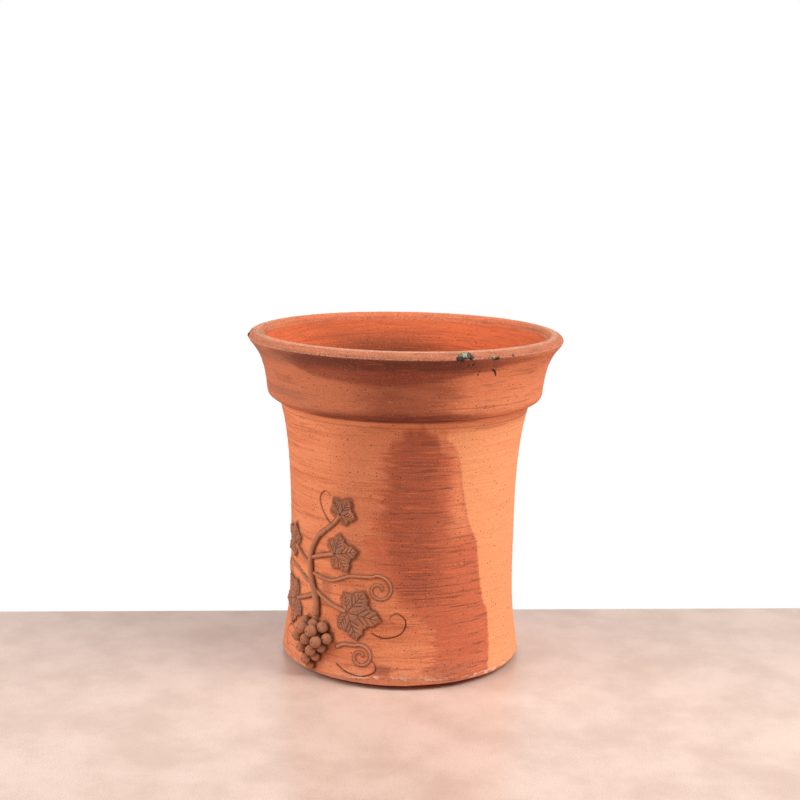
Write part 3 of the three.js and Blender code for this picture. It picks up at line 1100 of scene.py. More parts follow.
@dataclass(frozen=True)
class ThrownVessel:
    """The pot itself: wall, floor, foot, stepped collar and lip in one.

    Attributes:
        outline: Its section.
        wall: Its outside.
        marks: The marks round the sprig.
        facets_round: How many facets it has round.
        outer_ridges: The throwing rings outside.
        inner_ridges: The throwing rings inside.
        ring_stray: How far a ring strays, as an angle of its wave.
        ring_start: Between what heights the rings outside begin.
        ring_end: Between what drops below the crest they die away.
        wobble: How far the thrown wall strays.
        marked_u: How far to either side of the sprig's axis the wall is cut finer.
        marked_v: From what height to what height it is cut finer.
        stroke_reach: How near a stroke it is cut finer still.
        scrape_depth: How deep the foot's edge is scraped.
        scrape_rise: How many millimetres above the foot's edge the scraping reaches.
        scrape_front: How many millimetres further it reaches at the front.
        crease_height: How high the line runs that a tool cut under the collar.
        crease_depth: How deep it is.
        crease_width: How wide it is.
        crease_sway: How far it sways up and down on its way round.
        crease_rings: How many rings of finer facets it has on either side.
        crease_step: How many millimetres apart these rings lie.
        lip_rough: How deep the lip is pitted.
        dent_at: Where the lip is dented, in degrees from the front.
        dent_spread: How wide the dent is, in degrees.
        dent_depth: How deep it is.
        dent_rise: From what height to what height it deepens.
    """

    outline: Outline
    wall: Wall
    marks: Marks
    facets_round: int = 160
    outer_ridges: tuple[Ridge, ...] = (
        Ridge(0.1 * MM, 3.1 * MM),
        Ridge(0.13 * MM, 10.5 * MM),
        Ridge(0.1 * MM, 6.3 * MM),
    )
    inner_ridges: tuple[Ridge, ...] = (Ridge(0.42 * MM, 13 * MM), Ridge(0.16 * MM, 5 * MM))
    ring_stray: float = 2.2
    ring_start: tuple[float, float] = (0.5 * MM, 6 * MM)
    ring_end: tuple[float, float] = (9 * MM, 4 * MM)
    wobble: float = 0.3 * MM
    marked_u: float = 86 * MM
    marked_v: tuple[float, float] = (2 * MM, 166 * MM)
    stroke_reach: float = 2.2 * MM
    scrape_depth: float = 0.45 * MM
    scrape_rise: float = 1.6
    scrape_front: float = 4.4
    crease_height: float = 222.3 * MM
    crease_depth: float = 0.55 * MM
    crease_width: float = 0.6 * MM
    crease_sway: float = 0.8 * MM
    crease_rings: int = 5
    crease_step: float = 0.45
    lip_rough: float = 0.16 * MM
    dent_at: float = -84
    dent_spread: float = 3
    dent_depth: float = 0.7 * MM
    dent_rise: tuple[float, float] = (0.268, 0.273)

    @property
    def sizes(self) -> PotSizes:
        """Returns the pot's sizes."""
        return self.outline.sizes

    def build(self, clay: "Terracotta") -> None:
        """Spins the section, refines it round the sprig, works the surface and dresses it.

        Args:
            clay: The pot's fired clay.
        """
        bm = bmesh.new()
        inside = bm.verts.layers.float.new("inside")
        section = [bm.verts.new((0, -p.x, p.y)) for p in self.outline.whole()]
        count = len(section)
        edges = [bm.edges.new((section[i], section[(i + 1) % count])) for i in range(count)]
        first_inside = count - len(self.outline.inside())
        for i, vert in enumerate(section):
            vert[inside] = float(i >= first_inside)
        bmesh.ops.spin(bm, geom=[*section, *edges], axis=(0, 0, 1), cent=(0, 0, 0), angle=TURN,
                       steps=self.facets_round, use_merge=True, use_duplicate=False)
        for step in range(-self.crease_rings, self.crease_rings + 1):
            level = self.crease_height + step * self.crease_step * MM
            geom = [*bm.verts, *bm.edges, *bm.faces]
            bmesh.ops.bisect_plane(bm, geom=geom, dist=0.01 * MM, plane_co=(0, 0, level), plane_no=(0, 0, 1))
        bmesh.ops.recalc_face_normals(bm, faces=bm.faces)
        self._refine(bm, inside)
        bm.normal_update()
        self._work_surface(bm, inside)
        dress(finish_mesh(bm, "thrown_pot", Slot.TERRACOTTA, "thrown_vessel"), clay.material())

    def _marked(self, vert: bmesh.types.BMVert, inside: bmesh.types.BMLayerItem) -> bool:
        """Tells whether a vertex lies on the outside, round the sprig.

        Args:
            vert: The vertex.
            inside: The layer that tells the inside from the outside.

        Returns:
            Whether it does.
        """
        u, v = self.wall.unroll(vert.co)
        outer = vert[inside] < 0.5 and vert.co.to_2d().length > self.sizes.waist - MM
        return outer and abs(u) < self.marked_u and self.marked_v[0] < v < self.marked_v[1]

    def _refine(self, bm: bmesh.types.BMesh, inside: bmesh.types.BMLayerItem) -> None:
        """Cuts the facets round the sprig finer, and those under a stroke finer still.

        Args:
            bm: The mesh in work.
            inside: The layer that tells the inside from the outside.
        """
        marked = {v for v in bm.verts if self._marked(v, inside)}
        level = [e for e in bm.edges if all(v in marked for v in e.verts)
                 and abs(e.verts[0].co.z - e.verts[1].co.z) < 0.01 * MM]
        bmesh.ops.subdivide_edges(bm, edges=level, cuts=3, use_grid_fill=True)
        find = self.marks.cut_tree.find
        close = {v for v in bm.verts if self._marked(v, inside)
                 and find((*self.wall.unroll(v.co), 0))[2] < self.stroke_reach}
        fine = [e for e in bm.edges if all(v in close for v in e.verts)]
        bmesh.ops.subdivide_edges(bm, edges=fine, cuts=1, use_grid_fill=True)
        for vert in bm.verts:
            if vert[inside] < 0.5 and self._marked(vert, inside):
                flat = vert.co.to_2d()
                flat *= self.wall.radius(vert.co.z) / flat.length
                vert.co.xy = flat

    def _work_surface(self, bm: bmesh.types.BMesh, inside: bmesh.types.BMLayerItem) -> None:
        """Gives the surface its rings, its wobble, its marks and its scraped foot, and sets the painted
        shade in its crease and its marks.

        Args:
            bm: The mesh in work.
            inside: The layer that tells the inside from the outside.
        """
        recess = bm.verts.layers.float.new("recess")
        slip = bm.verts.layers.float.new("slip")
        moves: list[tuple[bmesh.types.BMVert, Vector]] = []
        for vert in bm.verts:
            within = vert[inside] > 0.5
            marked = self._marked(vert, inside)
            out = self._rings(vert.co, within)
            out -= self._lip_wear(vert.co)
            if not within:
                crease = self._crease(vert.co)
                out -= self._scrape(vert.co) + self.crease_depth * crease
                # painted shade in the cut under the collar
                vert[recess] = 0.8 * crease
            if marked:
                relief, vert[recess], vert[slip] = self.marks.relief(Vector(self.wall.unroll(vert.co)))
                out += relief
            moves.append((vert, vert.co + vert.normal * out))
        for vert, place in moves:
            vert.co = self._held_in(place)

    def _rings(self, point: Vector, within: bool) -> float:
        """Returns the height of the throwing rings and the wobble at a point.

        Args:
            point: The point on the surface.
            within: Whether it lies on the inside.

        Returns:
            How far the surface stands out there.
        """
        radius = point.to_2d().length
        if radius < self.sizes.drain + 2 * MM:
            return 0.0
        azimuth = math.atan2(point.x, -point.y)
        climb = point.z if radius > self.sizes.waist - 20 * MM else radius
        fade = 1.0 if within else smooth(point.z, *self.ring_start)
        fade *= 1 - smooth(point.z, *(self.sizes.height - drop for drop in self.ring_end))
        total = 0.0
        for i, ridge in enumerate(self.inner_ridges if within else self.outer_ridges):
            uneven = noise.noise(Vector((point.x * 9, point.y * 9, climb * 60 + 7 * i)))
            phase = TURN * climb / ridge.pitch + azimuth + self.ring_stray * uneven
            sharp = 1 - 2 * abs(math.sin(phase / 2))
            total += ridge.height * sharp * (0.55 + 0.6 * uneven)
        total += self.wobble * noise.noise(Vector((point.x * 11, point.y * 11, point.z * 14)))
        return total * fade

    def _scrape(self, point: Vector) -> float:
        """Scrapes the foot's edge.

        Args:
            point: The point on the outside.

        Returns:
            How much clay the potter took off there.
        """
        front = math.exp(-((math.atan2(point.x, -point.y) / 0.5) ** 2))
        top = self.sizes.foot_edge + (self.scrape_rise + self.scrape_front * front) * MM
        ragged = 1.3 * MM * noise.noise(point * 60) + 0.5 * MM * noise.noise(point * 260)
        cut = 1 - smooth(point.z, top - 1.2 * MM + ragged, top + ragged)
        lower = smooth(point.z, 0.5 * MM, 3 * MM)
        return self.scrape_depth * cut * lower * (1 + 0.6 * noise.noise(point * 150))

    def _crease(self, point: Vector) -> float:
        """Cuts the line under the collar.

        Args:
            point: The point on the outside.

        Returns:
            The share of the line's depth there.
        """
        azimuth = math.atan2(point.x, -point.y)
        height = self.crease_height + self.crease_sway * math.sin(3 * azimuth + math.radians(15))
        hand = 0.7 + 0.5 * noise.noise(Vector((point.x * 30, point.y * 30, 4)))
        return hand * math.exp(-(((point.z - height) / self.crease_width) ** 2))

    def _lip_wear(self, point: Vector) -> float:
        """Wears, pits and dents the lip.

        Args:
            point: The point on the surface.

        Returns:
            How much clay is gone there.
        """
        near = smooth(point.z, self.sizes.height - self.sizes.lip_drop - 2 * MM, self.sizes.height)
        pitted = self.lip_rough * (noise.noise(point * 300) + 0.6 * noise.noise(point * 800))
        turned = math.degrees(math.atan2(point.x, -point.y)) - self.dent_at
        dent = self.dent_depth * math.exp(-((turned / self.dent_spread) ** 2))
        return near * pitted + dent * smooth(point.z, *self.dent_rise)

    def _held_in(self, place: Vector) -> Vector:
        """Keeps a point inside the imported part's own reach.

        Args:
            place: The point.

        Returns:
            The point, moved in where it stood out.
        """
        flat = place.to_2d()
        flat *= min(flat.length, self.sizes.rim - HELD_IN) / max(flat.length, 1e-9)
        return Vector((flat.x, flat.y, min(max(place.z, 0.0), self.sizes.height)))


@dataclass(frozen=True)
class Cinder:
    """One crumb: degrees round, millimetres up, its radius in millimetres, its pale bloom."""

    azimuth: float
    height: float
    radius: float
    bloom: float = 0.0


@dataclass(frozen=True)
class KilnCrumbs:
    """The dark glassy crumbs that fell on the lip in the kiln.

    Attributes:
        wall: The pot's outside, which they stuck to.
        seed: Sets their shapes.
        lumps: The single crumbs.
        runs: The threads of glass, from crumb to crumb.
        run_steps: How many crumbs a thread has from one of its places to the next.
        run_stray: How far these stray sideways, in degrees.
        sunk: How deep a crumb's middle lies in the wall.
        rough: How uneven a crumb is, as a share of its radius.
        flattened: The share of its height that it lost on the wall.
        longest: How much longer than wide the longest are.
        slope_top: The height in millimetres above which they no longer follow the wall's slope.
    """

    wall: Wall
    seed: int = 11
    lumps: tuple[Cinder, ...] = (
        Cinder(20.1, 277.3, 2.9, 1.0), Cinder(22.0, 276.0, 2.1), Cinder(21.4, 278.5, 1.5),
        Cinder(17.5, 275.3, 1.7), Cinder(18.9, 274.6, 1.6), Cinder(18.4, 277.4, 1.7, 0.6),
        Cinder(21.8, 269.8, 0.8), Cinder(23.4, 269.7, 0.9), Cinder(26.9, 260.9, 0.75),
        Cinder(27.1, 263.5, 0.6), Cinder(28.7, 275.3, 1.1, 0.9), Cinder(30.6, 275.1, 1.2, 1.0),
        Cinder(32.2, 274.2, 1.3), Cinder(31.3, 273.6, 0.9), Cinder(38.7, 275.6, 1.1, 0.3),
        Cinder(44.4, 272.6, 0.5), Cinder(-83.5, 275.8, 1.5), Cinder(-84.5, 273.6, 1.2),
        Cinder(-77.0, 254.6, 1.2), Cinder(-75.6, 252.8, 0.8),
    )
    runs: tuple[tuple[Cinder, ...], ...] = (
        (Cinder(23.4, 269.7, 0.5), Cinder(23.9, 272.4, 0.35)),
        (Cinder(31.1, 272.4, 0.3), Cinder(31.9, 269.4, 0.22), Cinder(32.4, 266.4, 0.3)),
        (Cinder(32.5, 264.3, 0.85), Cinder(33.7, 263.2, 0.7), Cinder(34.2, 261.0, 0.65),
         Cinder(35.1, 258.6, 0.6)),
    )
    run_steps: int = 6
    run_stray: float = 0.25
    sunk: float = 0.2 * MM
    rough: float = 0.5
    flattened: float = 0.5
    longest: float = 1.4
    slope_top: float = 278.5

    def _all(self, draws: random.Random) -> list[Cinder]:
        """Lists every crumb, and breaks the runs up into chains of small ones.

        Args:
            draws: The random draws.

        Returns:
            The crumbs.
        """
        crumbs = list(self.lumps)
        for run in self.runs:
            for a, b in zip(run, run[1:]):
                for step in range(self.run_steps):
                    share = step / self.run_steps
                    stray = draws.uniform(-self.run_stray, self.run_stray)
                    crumbs.append(Cinder(lerp(a.azimuth, b.azimuth, share) + stray,
                                         lerp(a.height, b.height, share),
                                         lerp(a.radius, b.radius, share)))
        return crumbs

    def build(self, glass: "Crumb") -> None:
        """Makes all the crumbs as small rough lumps, flattened on the wall, and dresses them.

        Args:
            glass: Their glass.
        """
        bm = bmesh.new()
        bloom = bm.verts.layers.float.new("bloom")
        limit = PotSizes.rim - HELD_IN
        draws = random.Random(self.seed)
        for crumb in self._all(draws):
            u = (math.radians(crumb.azimuth) - self.wall.azimuth) * self.wall.waist
            centre = self.wall.point(u, crumb.height * MM, -self.sunk)
            out = self.wall.normal(u, min(crumb.height, self.slope_top) * MM)
            radius = crumb.radius * MM
            made = bmesh.ops.create_icosphere(bm, subdivisions=3, radius=radius)["verts"]
            seed = Vector([draws.uniform(0, 50) for _ in range(3)])
            long = draws.uniform(1.0, self.longest)
            across = Vector((0, 0, 1)).cross(out).normalized()
            for vert in made:
                spot = vert.co * (1 + self.rough * noise.noise(vert.co / radius * 1.6 + seed))
                vert[bloom] = crumb.bloom * smooth(spot.dot(out) / radius, 0.45, 0.8)
                spot += across * spot.dot(across) * (long - 1)
                spot -= out * spot.dot(out) * self.flattened
                place = centre + spot
                vert.co = Vector((min(max(place.x, -limit), limit), max(place.y, -limit),
                                  min(place.z, PotSizes.height)))
        dress(finish_mesh(bm, "kiln_crumbs", Slot.TERRACOTTA), glass.material())


# ---------------------------------------------------------------------------------------------
# Finishes
# ---------------------------------------------------------------------------------------------

Socket = bpy.types.NodeSocket
Value = Socket | float | tuple[float, ...]
Course = tuple[tuple[float, float], ...]


class Bench:
    """The nodes of a material or of the world, wired as they are written."""

    def __init__(self, owner: bpy.types.Material | bpy.types.World) -> None:
        """Starts with an empty tree.

        Args:
            owner: The material or the world that the nodes belong to.
        """
        owner.use_nodes = True
        self.owner = owner
        self.tree = owner.node_tree
        self.tree.nodes.clear()

    def feed(self, socket: Socket, value: Value) -> None:
        """Feeds an input.

        Args:
            socket: The input.
            value: Another node's output, which is linked to it, or a plain value.
        """
        if isinstance(value, bpy.types.NodeSocket):
            self.tree.links.new(value, socket)
        else:
            socket.default_value = value

    def add(self, kind: str, fed: dict[str | int, Value] | None = None,
            **settings: object) -> bpy.types.Node:
        """Adds a node.

        Args:
            kind: The node's type.
            fed: What its inputs are fed with, by their names or places.
            settings: Its own settings.

        Returns:
            The node.
        """
        node = self.tree.nodes.new(kind)
        for key, value in settings.items():
            setattr(node, key, value)
        for key, value in (fed or {}).items():
            self.feed(node.inputs[key], value)
        return node

    def coordinates(self) -> Socket:
        """Returns the object's own coordinates."""
        return self.add("ShaderNodeTexCoord").outputs["Object"]

    def attribute(self, name: str) -> Socket:
        """Returns a number that the mesh holds at each vertex."""
        return self.add("ShaderNodeAttribute", attribute_name=name).outputs["Fac"]

    def math(self, operation: str, *values: Value) -> Socket:
        """Does a sum.

        Args:
            operation: The Math node's operation.
            values: What it works on.

        Returns:
            The result.
        """
        return self.add("ShaderNodeMath", dict(enumerate(values)), operation=operation).outputs[0]

    def times(self, first: Value, *others: Value) -> Value:
        """Multiplies values.

        Args:
            first: The first of them.
            others: The others.

        Returns:
            Their product.
        """
        product = first
        for value in others:
            product = self.math("MULTIPLY", product, value)
        return product

    def blend(self, first: Socket, weight: float, second: Socket) -> Socket:
        """Adds two noises up by weight.

        Args:
            first: The first noise.
            weight: Its weight. The second one has the rest of 1.
            second: The second noise.

        Returns:
            The sum.
        """
        return self.math("ADD", self.times(first, weight), self.times(second, 1 - weight))

    def ease(self, value: Value, low: Value, high: Value) -> Socket:
        """Eases in.

        Args:
            value: The value to place between the two.
            low: Where the result is still 0.
            high: Where it has reached 1.

        Returns:
            The eased share, from 0 to 1.
        """
        fed = {"Value": value, "From Min": low, "From Max": high}
        return self.add("ShaderNodeMapRange", fed, interpolation_type="SMOOTHSTEP").outputs["Result"]

    def fade(self, value: Value, full: float, gone: float) -> Socket:
        """Eases out.

        Args:
            value: The value to place between the two.
            full: Where the result is still 1.
            gone: Where it has reached 0.

        Returns:
            The eased share, from 0 to 1.
        """
        return self.ease(self.times(value, -1.0), -gone, -full)

    def band(self, value: Value, low: Value, high: Value, soft: float) -> Socket:
        """Marks a band.

        Args:
            value: The value that it is taken from.
            low: Where the band begins.
            high: Where it ends.
            soft: How soft its edges are.

        Returns:
            1 between the two and 0 beyond.
        """
        rise = self.ease(self.math("SUBTRACT", value, low), -soft, soft)
        return self.times(rise, self.ease(self.math("SUBTRACT", high, value), -soft, soft))

    def spread(self, value: Value, low: float, high: float, first: float, last: float) -> Socket:
        """Maps one range onto another in a straight line, and holds its ends.

        Args:
            value: The value in the first range.
            low: Where the first range begins.
            high: Where it ends.
            first: Where the second range begins.
            last: Where it ends.

        Returns:
            The value in the second range.
        """
        fed = {"Value": value, "From Min": low, "From Max": high, "To Min": first, "To Max": last}
        return self.add("ShaderNodeMapRange", fed).outputs["Result"]

    def between(self, share: Value, first: float, last: float) -> Socket:
        """Returns the value that lies a share of the way from first to last."""
        return self.spread(share, 0.0, 1.0, first, last)

    def noise(self, vector: Socket, scale: float, detail: float, rough: float) -> Socket:
        """Adds a noise.

        Args:
            vector: The coordinates.
            scale: Its cells per metre.
            detail: How many octaves it has.
            rough: How strong the finer ones are.

        Returns:
            Its value, which mostly stays near 0.5.
        """
        fed = {"Vector": vector, "Scale": scale, "Detail": detail, "Roughness": rough}
        return self.add("ShaderNodeTexNoise", fed).outputs["Fac"]

    def drawn(self, vector: Socket, across: float, up: float, detail: float, rough: float) -> Socket:
        """Adds a noise that is drawn out round the pot.

        Args:
            vector: The coordinates.
            across: Its cells per metre sideways.
            up: Its cells per metre upwards.
            detail: How many octaves it has.
            rough: How strong the finer ones are.

        Returns:
            Its value.
        """
        scaled = self.add("ShaderNodeMapping", {"Vector": vector, "Scale": (across, across, up)})
        return self.noise(scaled.outputs["Vector"], 1.0, detail, rough)

    def mix(self, share: Value, first: Value, second: Value) -> Socket:
        """Mixes two colours.

        Args:
            share: How much of the second one shows.
            first: The first colour.
            second: The second colour.

        Returns:
            The mixed colour.
        """
        return self.add("ShaderNodeMix", {"Factor": share, 6: first, 7: second}, data_type="RGBA").outputs[2]

    def tint(self, colour: Value, tone: Colour, *shares: Value) -> Socket:
        """Lays a tone over a colour.

        Args:
            colour: The colour so far.
            tone: The tone.
            shares: How much of it shows, as factors of one share.

        Returns:
            The colour with the tone over it.
        """
        return self.mix(self.times(*shares), colour, tone)

    def grained(self, colour: Socket, grain: Socket, dark: float, light: float) -> Socket:
        """Makes a colour darker and lighter with its grain.

        Args:
            colour: The colour.
            grain: The grain's noise.
            dark: The factor where the grain is darkest.
            light: The factor where it is lightest.

        Returns:
            The grained colour.
        """
        fed = {0: colour, "Scale": self.spread(grain, 0.25, 0.75, dark, light)}
        return self.add("ShaderNodeVectorMath", fed, operation="SCALE").outputs[0]

    def course(self, along: Socket, at: float | Course) -> object:
        """Follows a course.

        Args:
            along: The place along it.
            at: Its (place, value) pairs in rising order, or a fixed value.

        Returns:
            The course's value at that place.
        """
        if isinstance(at, (int, float)):
            return float(at)
        places, values = zip(*at)
        low, high = min(values), max(values)
        node = self.add("ShaderNodeFloatCurve")
        node.mapping.extend = "HORIZONTAL"
        points = node.mapping.curves[0].points
        spots = [((place - places[0]) / (places[-1] - places[0]), (value - low) / (high - low))
                 for place, value in at]
        points[0].location, points[1].location = spots[0], spots[-1]
        for spot in spots[1:-1]:
            points.new(*spot)
        node.mapping.update()
        self.feed(node.inputs["Value"], self.spread(along, places[0], places[-1], 0.0, 1.0))
        return self.spread(node.outputs[0], 0.0, 1.0, low, high)

    def specks(self, vector: Socket, scale: float, size: float, kept: float) -> Socket:
        """Scatters round specks.

        Args:
            vector: The coordinates.
            scale: Cells per metre.
            size: The largest speck's radius, as a share of a cell.
            kept: The share of the cells that hold one.

        Returns:
            1 on a speck and 0 beside it.
        """
        cells = self.add("ShaderNodeTexVoronoi", {"Vector": vector, "Scale": scale})
        parts = self.add("ShaderNodeSeparateColor", {0: cells.outputs["Color"]})
        held = self.math("LESS_THAN", parts.outputs[0], kept)
        reach = self.times(self.math("ADD", parts.outputs[1], 0.25), size)
        return self.times(held, self.ease(self.math("SUBTRACT", reach, cells.outputs["Distance"]),
                                          0.0, size * 0.5))

    def bump(self, height: Socket, distance: float, strength: float, under: Socket | None = None) -> Socket:
        """Bumps the surface.

        Args:
            height: How high it stands.
            distance: How far 1 stands out.
            strength: How much of it shows.
            under: The normal of another bump under this one.

        Returns:
            The bumped normal.
        """
        fed = {"Height": height, "Distance": distance, "Strength": strength}
        if under is not None:
            fed["Normal"] = under
        return self.add("ShaderNodeBump", fed).outputs["Normal"]

    def finish(self, colour: Socket, roughness: Value, normal: Socket,
               specular: float = 0.3) -> bpy.types.Material:
        """Closes a material's tree with its shader.

        Args:
            colour: The base colour.
            roughness: The roughness.
            normal: The bumped normal.
            specular: The specular level.

        Returns:
            The material.
        """
        fed = {"Base Color": colour, "Roughness": roughness, "Normal": normal,
               "Specular IOR Level": specular}
        shader = self.add("ShaderNodeBsdfPrincipled", fed)
        self.add("ShaderNodeOutputMaterial", {"Surface": shader.outputs[0]})
        return self.owner


@dataclass(frozen=True)
class Edge:
    """One edge of a patch, in degrees from the front or in millimetres up.

    Attributes:
        at: Where it runs.
        soft: How soft it is.
        ragged: How far it strays.
    """

    at: float | Course
    soft: float
    ragged: float = 0.0


@dataclass(frozen=True)
class Patch:
    """A patch of other colour on the fired wall.

    Attributes:
        colour: Its colour.
        left: Its left edge.
        right: Its right edge.
        low: Its lower edge.
        high: Its upper edge.
        strength: How much of it shows.
        broken: How much of it the throwing lines break up.
        lined: How clearly the throwing lines show on it.
    """

    colour: Colour
    left: Edge | None = None
    right: Edge | None = None
    low: Edge | None = None
    high: Edge | None = None
    strength: float = 1.0
    broken: float = 0.0
    lined: float | None = None


@dataclass(frozen=True)
class Ground:
    """What the clay's colours follow: where a point lies, and the noises there.

    Attributes:
        spot: The object's coordinates.
        turned: Degrees round from the front.
        height: Millimetres up.
        radius: Millimetres from the axis.
        dash: Short fine throwing lines.
        streak: Broader and longer streaks.
        drift: The slow change up the wall.
        wander: Strays an edge sideways.
        rise: Strays an edge up and down.
        grain: The clay's coarse grain.
    """

    spot: Socket
    turned: Socket
    height: Socket
    radius: Socket
    dash: Socket
    streak: Socket
    drift: Socket
    wander: Socket
    rise: Socket
    grain: Socket

    @classmethod
    def of(cls, b: Bench) -> "Ground":
        """Lays the ground for a clay.

        Args:
            b: The material in work.

        Returns:
            The ground.
        """
        spot = b.coordinates()
        x, y, z = b.add("ShaderNodeSeparateXYZ", {0: spot}).outputs
        flat = b.add("ShaderNodeCombineXYZ", {0: x, 1: y}).outputs[0]
        length = b.add("ShaderNodeVectorMath", {0: flat}, operation="LENGTH").outputs["Value"]
        return cls(
            spot=spot,
            turned=b.times(b.math("ARCTAN2", x, b.times(y, -1.0)), 180 / math.pi),
            height=b.times(z, 1000.0),
            radius=b.times(length, 1000.0),
            dash=b.drawn(spot, 34, 620, 2.0, 0.6),
            streak=b.drawn(spot, 18, 200, 3.0, 0.6),
            drift=b.drawn(spot, 7, 26, 2.0, 0.5),
            wander=b.drawn(spot, 24, 110, 3.0, 0.6),
            rise=b.drawn(spot, 22, 22, 3.0, 0.6),
            grain=b.noise(spot, 1400.0, 3.0, 0.75),
        )


WASH_LEFT: Course = ((10, 15), (40, 14.5), (58, 9), (68, 3), (80, -4), (94, -12), (106, -14), (119, -19),
                     (129, -13), (150, -10), (190, -9), (206, -3))
WASH_RIGHT: Course = ((12, 45.4), (30, 47.6), (56, 47.2), (66, 44.2), (80, 42.2), (95, 40.5),
                      (115, 39), (135, 33.5), (165, 29), (190, 26), (206, 19))
WASH_TOP: Course = ((-14, 196), (-4, 207), (8, 210), (16, 203), (30, 190))
STAIN_AND_SHADE_LOW: Course = ((-52, 268), (-44, 262), (-34, 256), (-22, 252.5), (-6, 252), (8, 254), (20, 260),
                     (46, 268))


